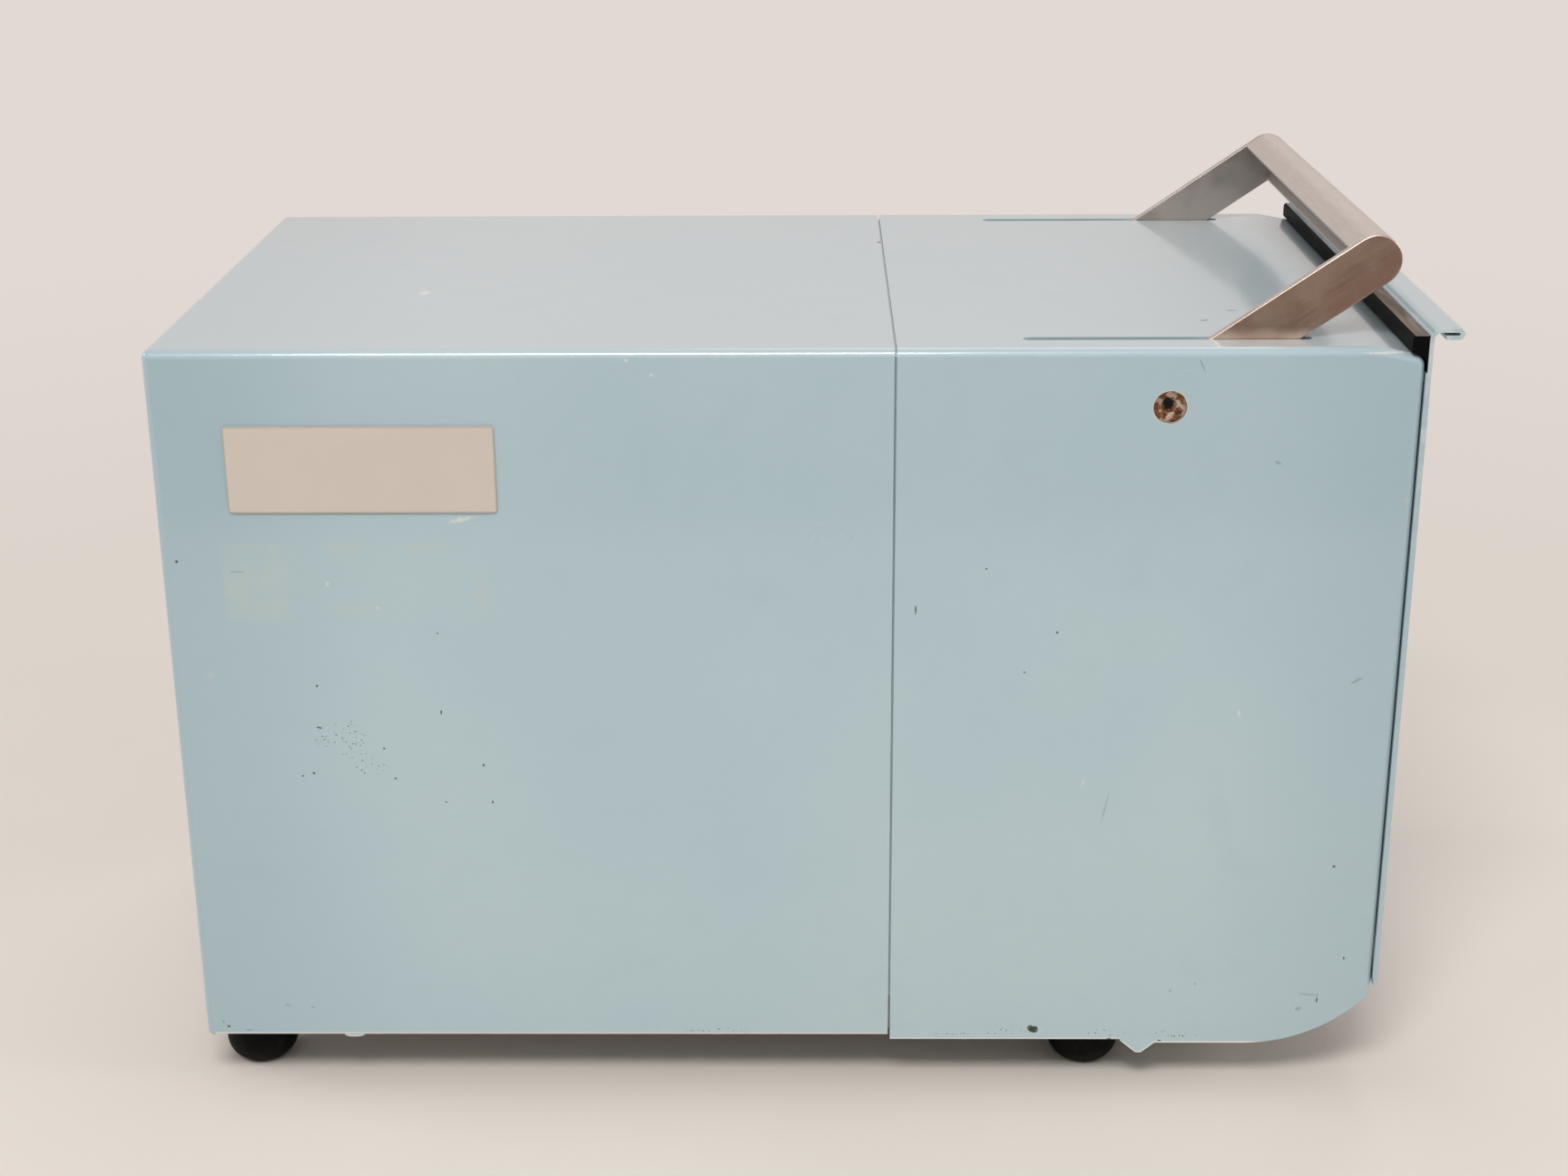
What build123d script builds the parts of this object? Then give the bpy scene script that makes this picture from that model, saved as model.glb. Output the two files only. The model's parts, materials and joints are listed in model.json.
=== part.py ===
from build123d import *
import math
import os

# Paddle blender homogenizer: a bench machine that kneads a sample bag between a door and two paddles.
# Millimetres. X runs from the back to the door, Y across, Z up from the bench. The user faces the door,
# so left is -Y. The origin is on the bench, under the middle of the machine. The door is shut, the handle
# lies forward and the paddles are level with each other.

# ---------------------------------------------------------------- driving sizes
# Covers
body_length = 420.3
rear_cover_length = 247.5
body_width = 226.9
body_top = 274.5
cover_sheet = 1.5
cover_bend = 3.0
seam_gap = 0.8
seam_lap = 8.0
return_flange = 9.0
edge_fold = 1.2
rear_cover_bottom = 19.5
front_cover_drop = 2.0
front_curve_run = 44.8
front_curve_rise = 18.5
front_toe_width = 1.5
front_toe_rise = 5.0
front_screw_setbacks = (62.0, 144.8)
rear_screw_shares = (0.25, 0.75)
top_slope_run = 16.0
top_slope_drop = 3.0
top_corner_radius = 4.0
top_lip_depth = 9.0
front_edge_step = 0.9
tab_setback = 82.4
tab_tip = 2.0
tab_flank = 5.8
tab_depth = 4.9
cover_gap = 0.3
screw_clearance = 0.2

# Feet, tray and the screws under it
foot_radius = 13.0
foot_neck_radius = 11.0
foot_face_radius = 7.5
foot_shoulder = 9.5
foot_belly_height = 4.0
foot_belly_inset = 1.2
foot_inset = 22.0
rear_foot_setback = 15.0
front_foot_setback = 100.3
tray_sheet = 2.0
tray_flange = 12.0
tray_gap = 1.0
tray_notch = 5.0
screw_radius = 1.75
screw_head_radius = 3.5
screw_head_height = 2.4
screw_inset = 7.0
screw_length = 9.0
screw_head_bend = 1.0
foot_screw_seat = 14.5

# Handle
pivot_drop = 19.8
pivot_setback = 82.6
handle_angle = 34.5
handle_swing = 111.0
handle_reach = 80.9
handle_width = 17.1
handle_sheet = 3.0
grip_wall = 2.0
grip_flange = 5.0
handle_slot_length = 95.4
handle_slot_gap = 0.5
hub_radius = 12.0
lever_root_radius = 10.0
stud_radius = 6.0
bush_wall = 2.0
bush_proud = 0.6
rivet_step = 2.0
stud_proud = 1.0
running_gap = 0.05
pivot_hole_radius = 5.5
pivot_screw_radius = 3.0
pivot_head_radius = 6.5
pivot_head_height = 3.0
pivot_recess = 3.4
hex_socket = 5.0
hex_depth = 2.2
pivot_head_chamfer = 0.6

# Cam between the handle's levers and the door's arms
door_opening = 17.0
cam_radius = 32.0
cam_lag = 5.0
cam_pin_radius = 3.5
cam_head_radius = 5.5
cam_head_height = 1.5
cam_slack = 0.85
cam_boss_radius = 7.5
cam_web = 5.0
cam_arc_ends = (0.0, 0.30, 0.66)

# Door
door_sheet = 1.5
door_gap = 0.4
door_bottom = 40.0
door_rise = 6.5
door_lip_reach = 11.7
door_lip_bend = 2.5
door_hem = 6.0
door_hem_gap = 1.0
foot_hem = 4.0
hinge_setback = 14.3
hinge_pin_radius = 4.0
hinge_eye_radius = 8.0
hinge_rivet_step = 1.0
hinge_end_gap = 0.2
door_arm_sheet = 2.4
door_arm_width = 13.0
door_stem_rise = 30.0
door_flange = 16.0
door_nut_inset = 5.0
door_nut_margin = 20.0
door_nut_width = 7.0
door_nut_height = 3.2
door_stud_radius = 2.0
gasket_top_width = 5.5
gasket_depth = 12.5
gasket_side = 5.0
gasket_chamfer = 0.8
door_pan_depth = 6.0
door_pan_sheet = 1.2
door_pan_corner = 10.0
door_pan_bend = 2.0
door_pan_margin = 4.0
door_pan_side_margin = 2.0

# Chamber and its frame
chamber_half_width = 90.0
chamber_floor = 48.0
chamber_headroom = 12.5
chamber_depth = 99.0
chamber_corner = 8.0
liner_sheet = 1.2
liner_setback = 4.3
frame_sheet = 2.0
frame_headroom = 8.5
frame_length = 140.0
frame_flange = 8.0
frame_flange_end = 45.0
frame_toe_run = 30.0
frame_toe_rise = 10.5
frame_front_chamfer = 8.0
frame_back_run = 30.0
frame_back_drop = 60.0
frame_window_heights = (72.0, 122.0, 172.0)
frame_window_length = 70.0
frame_window_rise = 34.0
frame_window_corner = 8.0
cam_window_gap = 1.0
side_gap = 0.8
bulkhead_sheet = 6.0
bulkhead_waist_rise = 30.0
sill_sheet = 1.2
sill_setback = 6.0
sill_drop = 5.5

# Paddles and their drive
paddle_width = 84.0
paddle_height = 150.0
paddle_thickness = 12.0
paddle_setback = 28.3
paddle_offset = 43.0
paddle_corner = 12.0
paddle_edge = 3.0
rod_radius = 5.0
rod_pitch = 48.0
spigot_radius = 3.0
spigot_length = 7.0
rod_bush_wall = 3.0
rod_bush_length = 22.0
rod_bush_flange = 3.0
rod_seal_length = 3.0
rod_seal_lip = 2.0
rod_seal_edge = 1.5
crank_setback = 184.3
crank_height = 140.0
crank_throw = 12.0
roller_radius = 11.0
roller_width = 7.0
crank_pin_radius = 6.0
crank_pin_length = 12.0
crank_web_radius = 23.0
crank_web_width = 6.0
crank_web_margin = 4.0
journal_radius = 7.5
bearing_radius = 17.5
bracket_offset = 70.0
bracket_width = 8.0
bracket_length = 56.0
bracket_margin = 7.0
bracket_toe_radius = 6.0
bracket_window = (30.0, 40.0)
bracket_foot_depth = 18.0
bracket_foot_sheet = 5.0
yoke_width = 8.0
yoke_wall = 9.0
yoke_slack = 0.7
yoke_end_gap = 1.0
yoke_corner = 8.0
yoke_slot_corner = 4.0

# Belt drive and motor
crank_pulley_radius = 60.0
motor_pulley_radius = 12.0
pulley_offset = 84.0
pulley_width = 12.0
pulley_rim = 3.0
pulley_holes = 5
pulley_felloe = 6.0
pulley_boss = 9.0
belt_width = 8.0
belt_thickness = 3.5
belt_gap = 0.3
motor_setback = 96.0
motor_height = 98.0
motor_radius = 46.0
motor_length = 96.0
motor_bell = 13.0
motor_shift = 10.0
motor_shaft_stub = 13.0
motor_bell_edge = 6.0
motor_fin_depth = 4.0
motor_fin_width = 2.5
motor_rotor_setback = 8.0
cradle_rib = 6.0
cradle_rib_inset = 12.0
cradle_foot_inset = 4.0
cradle_foot_sheet = 3.0
cradle_drop = 20.0
motor_shaft_radius = 6.0
motor_rotor_radius = 25.0
motor_air_gap = 0.6
motor_fin_count = 18
fan_radius = 36.0
fan_blades = 9
fan_width = 10.0
fan_disc = 1.5
fan_blade_sheet = 1.6
fan_hub = 4.0
fan_end_gap = 1.0

# Controls on the right-hand side
panel_setback = 30.0
panel_height = 205.0
panel_length = 84.0
panel_rise = 60.0
panel_depth = 13.0
panel_sheet = 1.2
panel_corner = 6.0
panel_rim = 7.0
knob_shift = -20.0
rocker_shift = 14.0
lamp_shift = 33.0
knob_gap = 0.6
knob_radius = 16.0
knob_skirt_radius = 19.0
knob_height = 15.5
knob_skirt_height = 3.0
knob_flutes = 12
knob_flute_radius = 2.6
knob_flute_reach = 1.2
knob_crown = 3.0
knob_shaft_radius = 3.0
timer_size = (40.0, 26.0, 44.0)
timer_corner = 4.0
rocker_radius = 11.0
rocker_width = 14.0
rocker_tilt = 10.0
rocker_gap = 0.4
rocker_rise = 4.5
rocker_sink = 1.0
switch_wall = 2.0
switch_depth = 16.0
bezel_flange = 2.0
lamp_radius = 4.5
lamp_lens_flange = 1.5
lamp_lens_height = 3.5
lamp_lens_edge = 2.5
lamp_depth = 22.0

# Electrical pieces at the back
inlet_width = 27.0
inlet_rise = 20.0
inlet_depth = 20.0
inlet_wall = 1.8
inlet_flange = 3.0
inlet_proud = 1.5
inlet_height = 62.0
inlet_offset = -62.0
fuse_radius = 6.0
fuse_offset = -28.0
vent_count = 9
vent_pitch = 9.0
vent_width = 34.0
vent_height = 3.0
vent_spread = 25.5
vent_rise = 50.0
pin_places = ((-7.0, -1.0), (0.0, 3.0), (7.0, -1.0))
pin_width = 2.0
pin_rise = 4.0
pin_recess = 6.0
fuse_cap_wall = 1.5
fuse_cap_height = 3.0
fuse_slot_width = 1.2
fuse_slot_depth = 1.0
fuse_length = 24.0
capacitor_radius = 17.5
capacitor_length = 60.0
terminal_size = (20.0, 60.0, 16.0)
capacitor_setback = 30.0
capacitor_y = -20.0
terminal_setback = 20.0
terminal_y = 30.0

# Badge plate on the left side, blank
badge_length = 90.0
badge_rise = 30.0
badge_thickness = 0.8
badge_corner = 1.5
badge_setback = 25.0
badge_drop = 25.5

# ---------------------------------------------------------------- places worked out from the sizes
half_width = body_width / 2
x_back = -(body_length + door_lip_reach) / 2
x_seam = x_back + rear_cover_length
x_front = x_back + body_length
front_cover_bottom = rear_cover_bottom - front_cover_drop
cover_inside = half_width - cover_sheet
tab_rear = x_front - tab_setback - tab_tip / 2
tab_start = tab_rear - tab_flank

tray_bottom = rear_cover_bottom + cover_sheet
tray_top = tray_bottom + tray_sheet
tray_back = x_back + cover_sheet + tray_gap
tray_front = x_front - front_curve_run - 2 * tray_gap
tray_half_width = cover_inside - tray_gap

# Across each side, from the chamber outwards: liner, door arm, frame plate, handle arm, cover
y_liner = chamber_half_width + liner_sheet
y_door_arm = y_liner + side_gap
y_frame = y_door_arm + door_arm_sheet + side_gap
y_handle = y_frame + frame_sheet + side_gap
handle_outside = y_handle + handle_sheet

pivot_x = x_front - pivot_setback
pivot_z = body_top - pivot_drop
door_top = body_top + door_rise
chamber_top = body_top - chamber_headroom
frame_top = body_top - frame_headroom
hinge_x = x_front - hinge_setback
hinge_z = door_bottom
door_inside = x_front + door_gap
nut_offset = y_door_arm + door_flange - door_nut_inset
nut_low = hinge_z + door_stem_rise + door_nut_margin
nut_high = pivot_z - cam_radius - door_nut_margin
nut_heights = (nut_low, (nut_low + nut_high) / 2, nut_high)
liner_front = x_front - liner_setback
liner_back = liner_front - chamber_depth
frame_front = liner_front
frame_back = frame_front - frame_length
bulkhead_back = liner_back - bulkhead_sheet

crank_x = x_front - crank_setback
paddle_face = x_front - paddle_setback
paddle_back = paddle_face - paddle_thickness
yoke_slot_width = 2 * (roller_radius + yoke_slack)
yoke_slot_height = 2 * (crank_throw + roller_radius + yoke_end_gap)
yoke_half_length = yoke_slot_width / 2 + yoke_wall
badge_x = x_back + badge_setback + badge_length / 2
badge_z = body_top - badge_drop - badge_rise / 2
motor_x = x_back + motor_setback
motor_left = -motor_length / 2 - motor_shift
motor_right = motor_left + motor_length
shaft_left = motor_left - motor_bell - motor_shaft_stub
capacitor_x = x_seam - capacitor_setback
terminal_x = x_back + terminal_setback

panel_x = x_seam - panel_setback - panel_length / 2
panel_face = half_width - panel_depth
knob_x = panel_x + knob_shift
rocker_x = panel_x + rocker_shift
rocker_y = panel_face - rocker_sink
lamp_x = panel_x + lamp_shift

parts = {}


# ---------------------------------------------------------------- shapes used all over
def block(x0, x1, y0, y1, z0, z1):
    """Box between two corners."""
    return Pos((x0 + x1) / 2, (y0 + y1) / 2, (z0 + z1) / 2) * Box(x1 - x0, y1 - y0, z1 - z0)


def upright(outline, y0, y1):
    """Outline drawn in X and Z, made solid from y0 to y1."""
    return extrude(Plane.XZ.offset(-y1) * outline, amount=y1 - y0)


def crosswise(outline, x0, x1):
    """Outline drawn in Y and Z, made solid from x0 to x1."""
    return extrude(Plane.YZ.offset(x0) * outline, amount=x1 - x0)


def level(outline, z0, z1):
    """Outline drawn in X and Y, made solid from z0 to z1."""
    return extrude(Plane.XY.offset(z0) * outline, amount=z1 - z0)


def rod_along_y(x, z, radius, y0, y1):
    """Round bar across the machine."""
    return upright(Pos(x, z) * Circle(radius), y0, y1)


def rod_along_x(y, z, radius, x0, x1):
    """Round bar along the machine."""
    return crosswise(Pos(y, z) * Circle(radius), x0, x1)


def post(x, y, radius, z0, z1):
    """Round bar standing up."""
    return level(Pos(x, y) * Circle(radius), z0, z1)


def other_side(shape):
    """The same piece on the other side of the machine."""
    return mirror(shape, Plane.XZ)


def both_sides(shape):
    """A piece and its mirror image, as two solids in one node."""
    return Compound(children=[shape, other_side(shape)])


def group(shapes):
    """Separate solids in one node."""
    return Compound(children=list(shapes))


def turned(point, centre, degrees):
    """Point turned about a centre, from +X towards +Z."""
    angle = math.radians(degrees)
    x = point[0] - centre[0]
    z = point[1] - centre[1]
    return (centre[0] + x * math.cos(angle) - z * math.sin(angle),
            centre[1] + x * math.sin(angle) + z * math.cos(angle))


def hull(*circles):
    """Outline that wraps circles given as (x, z, radius)."""
    edges = []
    for x, z, radius in circles:
        edges += (Pos(x, z) * Circle(radius)).edges()
    return make_hull(edges)


# ---------------------------------------------------------------- covers
def eased_edge(x0, x1, low):
    """What the fold rounds off a right-hand lower edge where the sheet turns in."""
    corner = block(x0, x1, half_width - edge_fold, half_width + edge_fold, low - edge_fold, low + edge_fold)
    return corner - rod_along_x(half_width - edge_fold, low + edge_fold, edge_fold, x0, x1)


def rear_cover():
    """Bent sheet: top, two sides and back, with turned-in lower edges and a lap behind the seam."""
    front = x_seam - seam_gap / 2
    outside = block(x_back, front, -half_width, half_width, rear_cover_bottom, body_top)
    bends = outside.edges().group_by(Axis.Z)[-1].filter_by(Axis.X)
    bends += outside.edges().group_by(Axis.Z)[-1].filter_by(Axis.Y).sort_by(Axis.X)[:1]
    bends += outside.edges().group_by(Axis.Z)[0].filter_by(Axis.Y).sort_by(Axis.X)[:1]
    bends += outside.edges().filter_by(Axis.Z).group_by(Axis.X)[0]
    outside = fillet(bends, cover_bend)
    inside = block(x_back + cover_sheet, front + 1, -cover_inside, cover_inside,
                   rear_cover_bottom - 1, body_top - cover_sheet)
    folds = inside.edges().group_by(Axis.Z)[-1].filter_by(Axis.X)
    folds += inside.edges().group_by(Axis.Z)[-1].filter_by(Axis.Y).sort_by(Axis.X)[:1]
    folds += inside.edges().filter_by(Axis.Z).group_by(Axis.X)[0]
    inside = fillet(folds, cover_bend - cover_sheet)
    cover = outside - inside

    flange_top = rear_cover_bottom + cover_sheet
    flange_inside = half_width - return_flange
    for side in (-1, 1):
        low, high = sorted((side * flange_inside, side * (cover_inside + 0.5 * cover_sheet)))
        cover += block(x_back + cover_bend, front, low, high, rear_cover_bottom, flange_top)
    between_feet = half_width - foot_inset - foot_radius - tray_gap
    back_flange = block(x_back, x_back + return_flange, -between_feet, between_feet,
                        rear_cover_bottom, flange_top)
    fold_x = x_back + cover_sheet + tray_gap
    fold_z = rear_cover_bottom + cover_sheet + tray_gap
    fold = block(x_back, fold_x, -between_feet, between_feet, rear_cover_bottom, fold_z)
    fold -= rod_along_y(fold_x, fold_z, tray_gap, -between_feet, between_feet)
    cover += (back_flange + fold) & outside
    edge = eased_edge(x_back + cover_bend, front, rear_cover_bottom)
    cover -= edge
    cover -= other_side(edge)

    # The lap is a joggled strip that the front cover slides over.
    lap_outside = cover_inside - cover_gap
    lap_inside = lap_outside - cover_sheet
    lap_top = body_top - cover_sheet - cover_gap
    lap_bottom = tray_top + tray_flange
    lap = block(x_seam - seam_lap, x_seam + seam_lap, -lap_outside, lap_outside, lap_bottom, lap_top)
    lap = fillet(lap.edges().group_by(Axis.Z)[-1].filter_by(Axis.X), cover_bend - cover_sheet)
    weld = block(x_seam - seam_lap, x_seam - seam_lap / 2, -cover_inside, cover_inside,
                 lap_bottom, body_top - cover_sheet)
    lap += fillet(weld.edges().group_by(Axis.Z)[-1].filter_by(Axis.X), cover_bend - cover_sheet)
    lap -= block(x_seam - seam_lap, x_seam + seam_lap, -lap_inside, lap_inside,
                 lap_bottom, lap_top - cover_sheet)
    cover += lap

    cover -= upright(Pos(panel_x, panel_height) * RectangleRounded(panel_length, panel_rise, panel_corner),
                     cover_inside - 1, half_width + 1)
    cover -= crosswise(Pos(inlet_offset, inlet_height) * Rectangle(inlet_width, inlet_rise),
                       x_back - 1, x_back + cover_sheet + 1)
    cover -= rod_along_x(fuse_offset, inlet_height, fuse_radius, x_back - 1, x_back + cover_sheet + 1)
    vents = [Pos(side * vent_spread, inlet_height + vent_rise + i * vent_pitch)
             * SlotOverall(vent_width, vent_height) for i in range(vent_count) for side in (-1, 1)]
    cover -= crosswise(Sketch() + vents, x_back - 1, x_back + cover_sheet + 1)
    for x, y in rear_screw_places():
        cover -= post(x, y, screw_radius + screw_clearance, rear_cover_bottom - 1, flange_top + 1)
    return cover


def front_outline():
    """Side view of the front cover, with its curved lower corner and the V-shaped tab."""
    low = front_cover_bottom
    front_low = low - front_edge_step
    back = x_seam + seam_gap / 2
    curve_start = x_front - front_curve_run
    toe_x = x_front - front_toe_width
    toe_z = low + front_curve_rise
    run = toe_x - curve_start
    rise = toe_z - front_low
    radius = (run ** 2 + rise ** 2) / (2 * rise)
    half_angle = math.atan2(rise, run)
    middle = (curve_start + radius * math.sin(half_angle), front_low + radius * (1 - math.cos(half_angle)))
    tab_front = tab_rear + tab_tip
    front_flank = tab_flank * (tab_depth - front_edge_step) / tab_depth
    slope_x = x_front - top_slope_run
    with BuildSketch() as outline:
        with BuildLine():
            Polyline((back, body_top), (back, low), (tab_start, low), (tab_rear, low - tab_depth),
                     (tab_front, low - tab_depth), (tab_front + front_flank, front_low),
                     (curve_start, front_low))
            ThreePointArc((curve_start, front_low), middle, (toe_x, toe_z))
            Polyline((toe_x, toe_z), (x_front, toe_z + front_toe_rise), (x_front, body_top - top_slope_drop),
                     (slope_x, body_top), (back, body_top))
        make_face()
        corner = outline.vertices().sort_by_distance((x_front, body_top - top_slope_drop))[0]
        fillet(corner, top_corner_radius)
    return outline.sketch


def front_cover():
    """Bent sheet: top and two sides, open to the door, with slots for the handle's arms."""
    outside = upright(front_outline(), -half_width, half_width)
    top_edges = outside.edges().filter_by(lambda e: abs(abs(e.center().Y) - half_width) < 0.1
                                          and e.center().Z > body_top - top_slope_drop - 0.1
                                          and e.center().X < x_front - top_corner_radius)
    outside = fillet(top_edges, cover_bend)

    back = x_seam - 1
    ceiling = body_top - cover_sheet
    lip = body_top - top_slope_drop - top_lip_depth
    slope_x = x_front - top_slope_run
    inner = Polygon((back, 0), (x_front + 1, 0), (x_front + 1, lip), (x_front - cover_sheet, lip),
                    (x_front - cover_sheet, ceiling - top_slope_drop), (slope_x, ceiling), (back, ceiling),
                    align=None)
    corner = inner.vertices().sort_by_distance((x_front - cover_sheet, ceiling - top_slope_drop))[0]
    inner = fillet(corner, top_corner_radius - cover_sheet)
    inside = upright(inner, -cover_inside, cover_inside)
    top_edges = inside.edges().filter_by(lambda e: abs(abs(e.center().Y) - cover_inside) < 0.1
                                         and e.center().Z > ceiling - top_slope_drop - 0.1
                                         and e.center().X < x_front - top_corner_radius)
    inside = fillet(top_edges, cover_bend - cover_sheet)
    cover = outside - inside

    flange = block(x_seam + seam_gap / 2, x_front - front_curve_run, half_width - return_flange,
                   cover_inside + 0.5 * cover_sheet, front_cover_bottom, front_cover_bottom + cover_sheet)
    cover += flange
    cover += other_side(flange)
    edge = eased_edge(x_seam + seam_gap / 2, tab_start, front_cover_bottom)
    cover -= edge
    cover -= other_side(edge)
    slot = SlotOverall(handle_slot_length, handle_sheet + 2 * handle_slot_gap)
    for side in (-1, 1):
        middle = side * (y_handle + handle_sheet / 2)
        cover -= level(Pos(pivot_x, middle) * slot, ceiling - 1, body_top + 1)
    cover -= rod_along_y(pivot_x, pivot_z, pivot_hole_radius, -half_width - 1, half_width + 1)
    flange_top = front_cover_bottom + cover_sheet
    for x, y in front_screw_places():
        cover -= post(x, y, screw_radius + screw_clearance, front_cover_bottom - 1, flange_top + 1)
    return cover


def rear_screw_places():
    """Screws through the rear cover's turned-in edges."""
    side_y = half_width - screw_inset
    sides = [(x_back + share * rear_cover_length, side * side_y)
             for share in rear_screw_shares for side in (-1, 1)]
    back = [(x_back + screw_inset, side * half_width / 2) for side in (-1, 1)]
    return sides + back


def front_screw_places():
    """Screws through the front cover's turned-in edges."""
    side_y = half_width - screw_inset
    return [(x_front - setback, side * side_y) for setback in front_screw_setbacks for side in (-1, 1)]


def panhead_up(x, y, seat):
    """Screw driven up from below: head under the seat, shank above it."""
    head = post(x, y, screw_head_radius, seat - screw_head_height, seat)
    head = fillet(head.edges().group_by(Axis.Z)[0], screw_head_bend)
    return head + post(x, y, screw_radius, seat, seat + screw_length)


def foot_places():
    """Centres of the four feet, by name."""
    side_y = half_width - foot_inset
    return {
        "foot_rear_left": (x_back + rear_foot_setback, -side_y),
        "foot_rear_right": (x_back + rear_foot_setback, side_y),
        "foot_front_left": (x_front - front_foot_setback, -side_y),
        "foot_front_right": (x_front - front_foot_setback, side_y),
    }


def foot(x, y):
    """Turned rubber foot with a rounded bottom and a sunk screw hole."""
    with BuildSketch(Plane.XZ) as half:
        with BuildLine():
            Line((0, 0), (foot_face_radius, 0))
            ThreePointArc((foot_face_radius, 0), (foot_radius - foot_belly_inset, foot_belly_height),
                          (foot_radius, foot_shoulder))
            Polyline((foot_radius, foot_shoulder), (foot_neck_radius, tray_bottom), (0, tray_bottom), (0, 0))
        make_face()
    body = revolve(half.sketch, Axis.Z)
    body -= post(0, 0, screw_head_radius + 2 * screw_clearance, 0, foot_screw_seat)
    body -= post(0, 0, screw_radius + screw_clearance, foot_screw_seat, tray_bottom)
    return Pos(x, y) * body


def base_tray():
    """Folded tray that everything stands on."""
    rim = tray_top + tray_flange
    tray = block(tray_back, tray_front, -tray_half_width, tray_half_width, tray_bottom, rim)
    tray -= block(tray_back + tray_sheet, tray_front - tray_sheet, -tray_half_width + tray_sheet,
                  tray_half_width - tray_sheet, tray_top, rim)
    for x in (tray_back, tray_front):
        for y in (-tray_half_width, tray_half_width):
            tray -= Pos(x, y, (tray_top + rim) / 2) * Box(2 * tray_notch, 2 * tray_notch, tray_flange)
    for side in (-1, 1):
        low, high = sorted((side * (y_frame - tray_gap), side * tray_half_width))
        tray -= block(tray_front - tray_sheet, tray_front, low, high, tray_top, rim)
    for x, y in rear_screw_places() + front_screw_places() + list(foot_places().values()):
        tray -= post(x, y, screw_radius, tray_bottom, tray_top)
    return tray


parts["base_tray"] = base_tray()
parts["rear_cover"] = rear_cover()
parts["front_cover"] = front_cover()
for name, (x, y) in foot_places().items():
    parts[name] = foot(x, y)
parts["case_screws"] = group(
    [panhead_up(x, y, rear_cover_bottom) for x, y in rear_screw_places()]
    + [panhead_up(x, y, front_cover_bottom) for x, y in front_screw_places()]
    + [panhead_up(x, y, foot_screw_seat) for x, y in foot_places().values()])
parts["cover_spacers"] = group(post(x, y, screw_head_radius, front_cover_bottom + cover_sheet, tray_bottom)
                               - post(x, y, screw_radius + screw_clearance, 0, tray_bottom + 1)
                               for x, y in front_screw_places())
badge_outline = RectangleRounded(badge_length, badge_rise, badge_corner)
parts["badge_plate"] = upright(Pos(badge_x, badge_z) * badge_outline,
                               -half_width - badge_thickness, -half_width)


# ---------------------------------------------------------------- chamber, bulkhead and frame
def rod_places():
    """Y and Z of the four guide rods."""
    return [(side * paddle_offset, crank_height + end * rod_pitch / 2) for side in (-1, 1) for end in (-1, 1)]


def chamber_liner():
    """Stainless tub, open to the door, with holes for the guide rods in its back."""
    tub = block(liner_back, liner_front, -y_liner, y_liner,
                chamber_floor - liner_sheet, chamber_top + liner_sheet)
    tub = fillet(tub.edges().filter_by(Axis.X), chamber_corner)
    room = block(liner_back + liner_sheet, liner_front, -chamber_half_width, chamber_half_width,
                 chamber_floor, chamber_top)
    tub -= fillet(room.edges().filter_by(Axis.X), chamber_corner - liner_sheet)
    for y, z in rod_places():
        tub -= rod_along_x(y, z, rod_radius + rod_bush_wall, liner_back - 1, liner_back + liner_sheet + 1)
    return tub


def bulkhead():
    """Thick plate behind the chamber that carries the rod bushes; its upper corners clear the door's arms."""
    waist = crank_height + rod_pitch / 2 + bulkhead_waist_rise
    plate = block(bulkhead_back, liner_back, -y_frame, y_frame, tray_top, waist)
    plate += block(bulkhead_back, liner_back, -y_liner, y_liner, waist, chamber_top)
    for y, z in rod_places():
        plate -= rod_along_x(y, z, rod_radius + rod_bush_wall, bulkhead_back - 1, liner_back + 1)
    return plate


def sill():
    """Folded sheet that closes the body under the door, from the tray up to the chamber's floor."""
    start = (tray_front, tray_top)
    knee = (liner_front - sill_setback, front_cover_bottom + front_curve_rise - sill_drop)
    end = (knee[0] + sill_sheet, chamber_floor - liner_sheet)
    section = Polygon(start, (start[0] + sill_sheet, start[1] - sill_sheet), (knee[0] + sill_sheet, knee[1]),
                      end, (knee[0], end[1]), (knee[0], knee[1] + sill_sheet),
                      (start[0], start[1] + sill_sheet), align=None)
    return upright(section, -chamber_half_width, chamber_half_width)


def cam_pin_place(share):
    """Where the cam pin is after a share of the handle's swing."""
    start = handle_angle + 180 - cam_lag
    return turned((pivot_x + cam_radius, pivot_z), (pivot_x, pivot_z), start + share * handle_swing)


def cam_window():
    """Curved window that the handle's cam pin swings through."""
    swing = ThreePointArc(*[cam_pin_place(share) for share in (0, 0.5, 1)])
    return SlotArc(swing, 2 * (cam_pin_radius + cam_window_gap))


def frame_plate():
    """Right-hand plate that carries the handle's pivot and the door's hinge pin."""
    outline = Polygon((frame_back, tray_top), (frame_front - frame_toe_run, tray_top),
                      (frame_front, tray_top + frame_toe_rise),
                      (frame_front, frame_top - frame_front_chamfer),
                      (frame_front - frame_front_chamfer, frame_top),
                      (frame_back + frame_back_run, frame_top),
                      (frame_back, frame_top - frame_back_drop), align=None)
    outline -= cam_window()
    outline -= Pos(pivot_x, pivot_z) * Circle(stud_radius - rivet_step)
    outline -= Pos(hinge_x, hinge_z) * Circle(hinge_pin_radius - hinge_rivet_step)
    window = RectangleRounded(frame_window_length, frame_window_rise, frame_window_corner)
    for z in frame_window_heights:
        outline -= Pos(frame_front - frame_length / 2, z) * window
    plate = upright(outline, y_frame, y_frame + frame_sheet)
    plate += block(frame_back, frame_front - frame_flange_end, y_frame, y_frame + frame_flange,
                   tray_top, tray_top + frame_sheet)
    return plate


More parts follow.
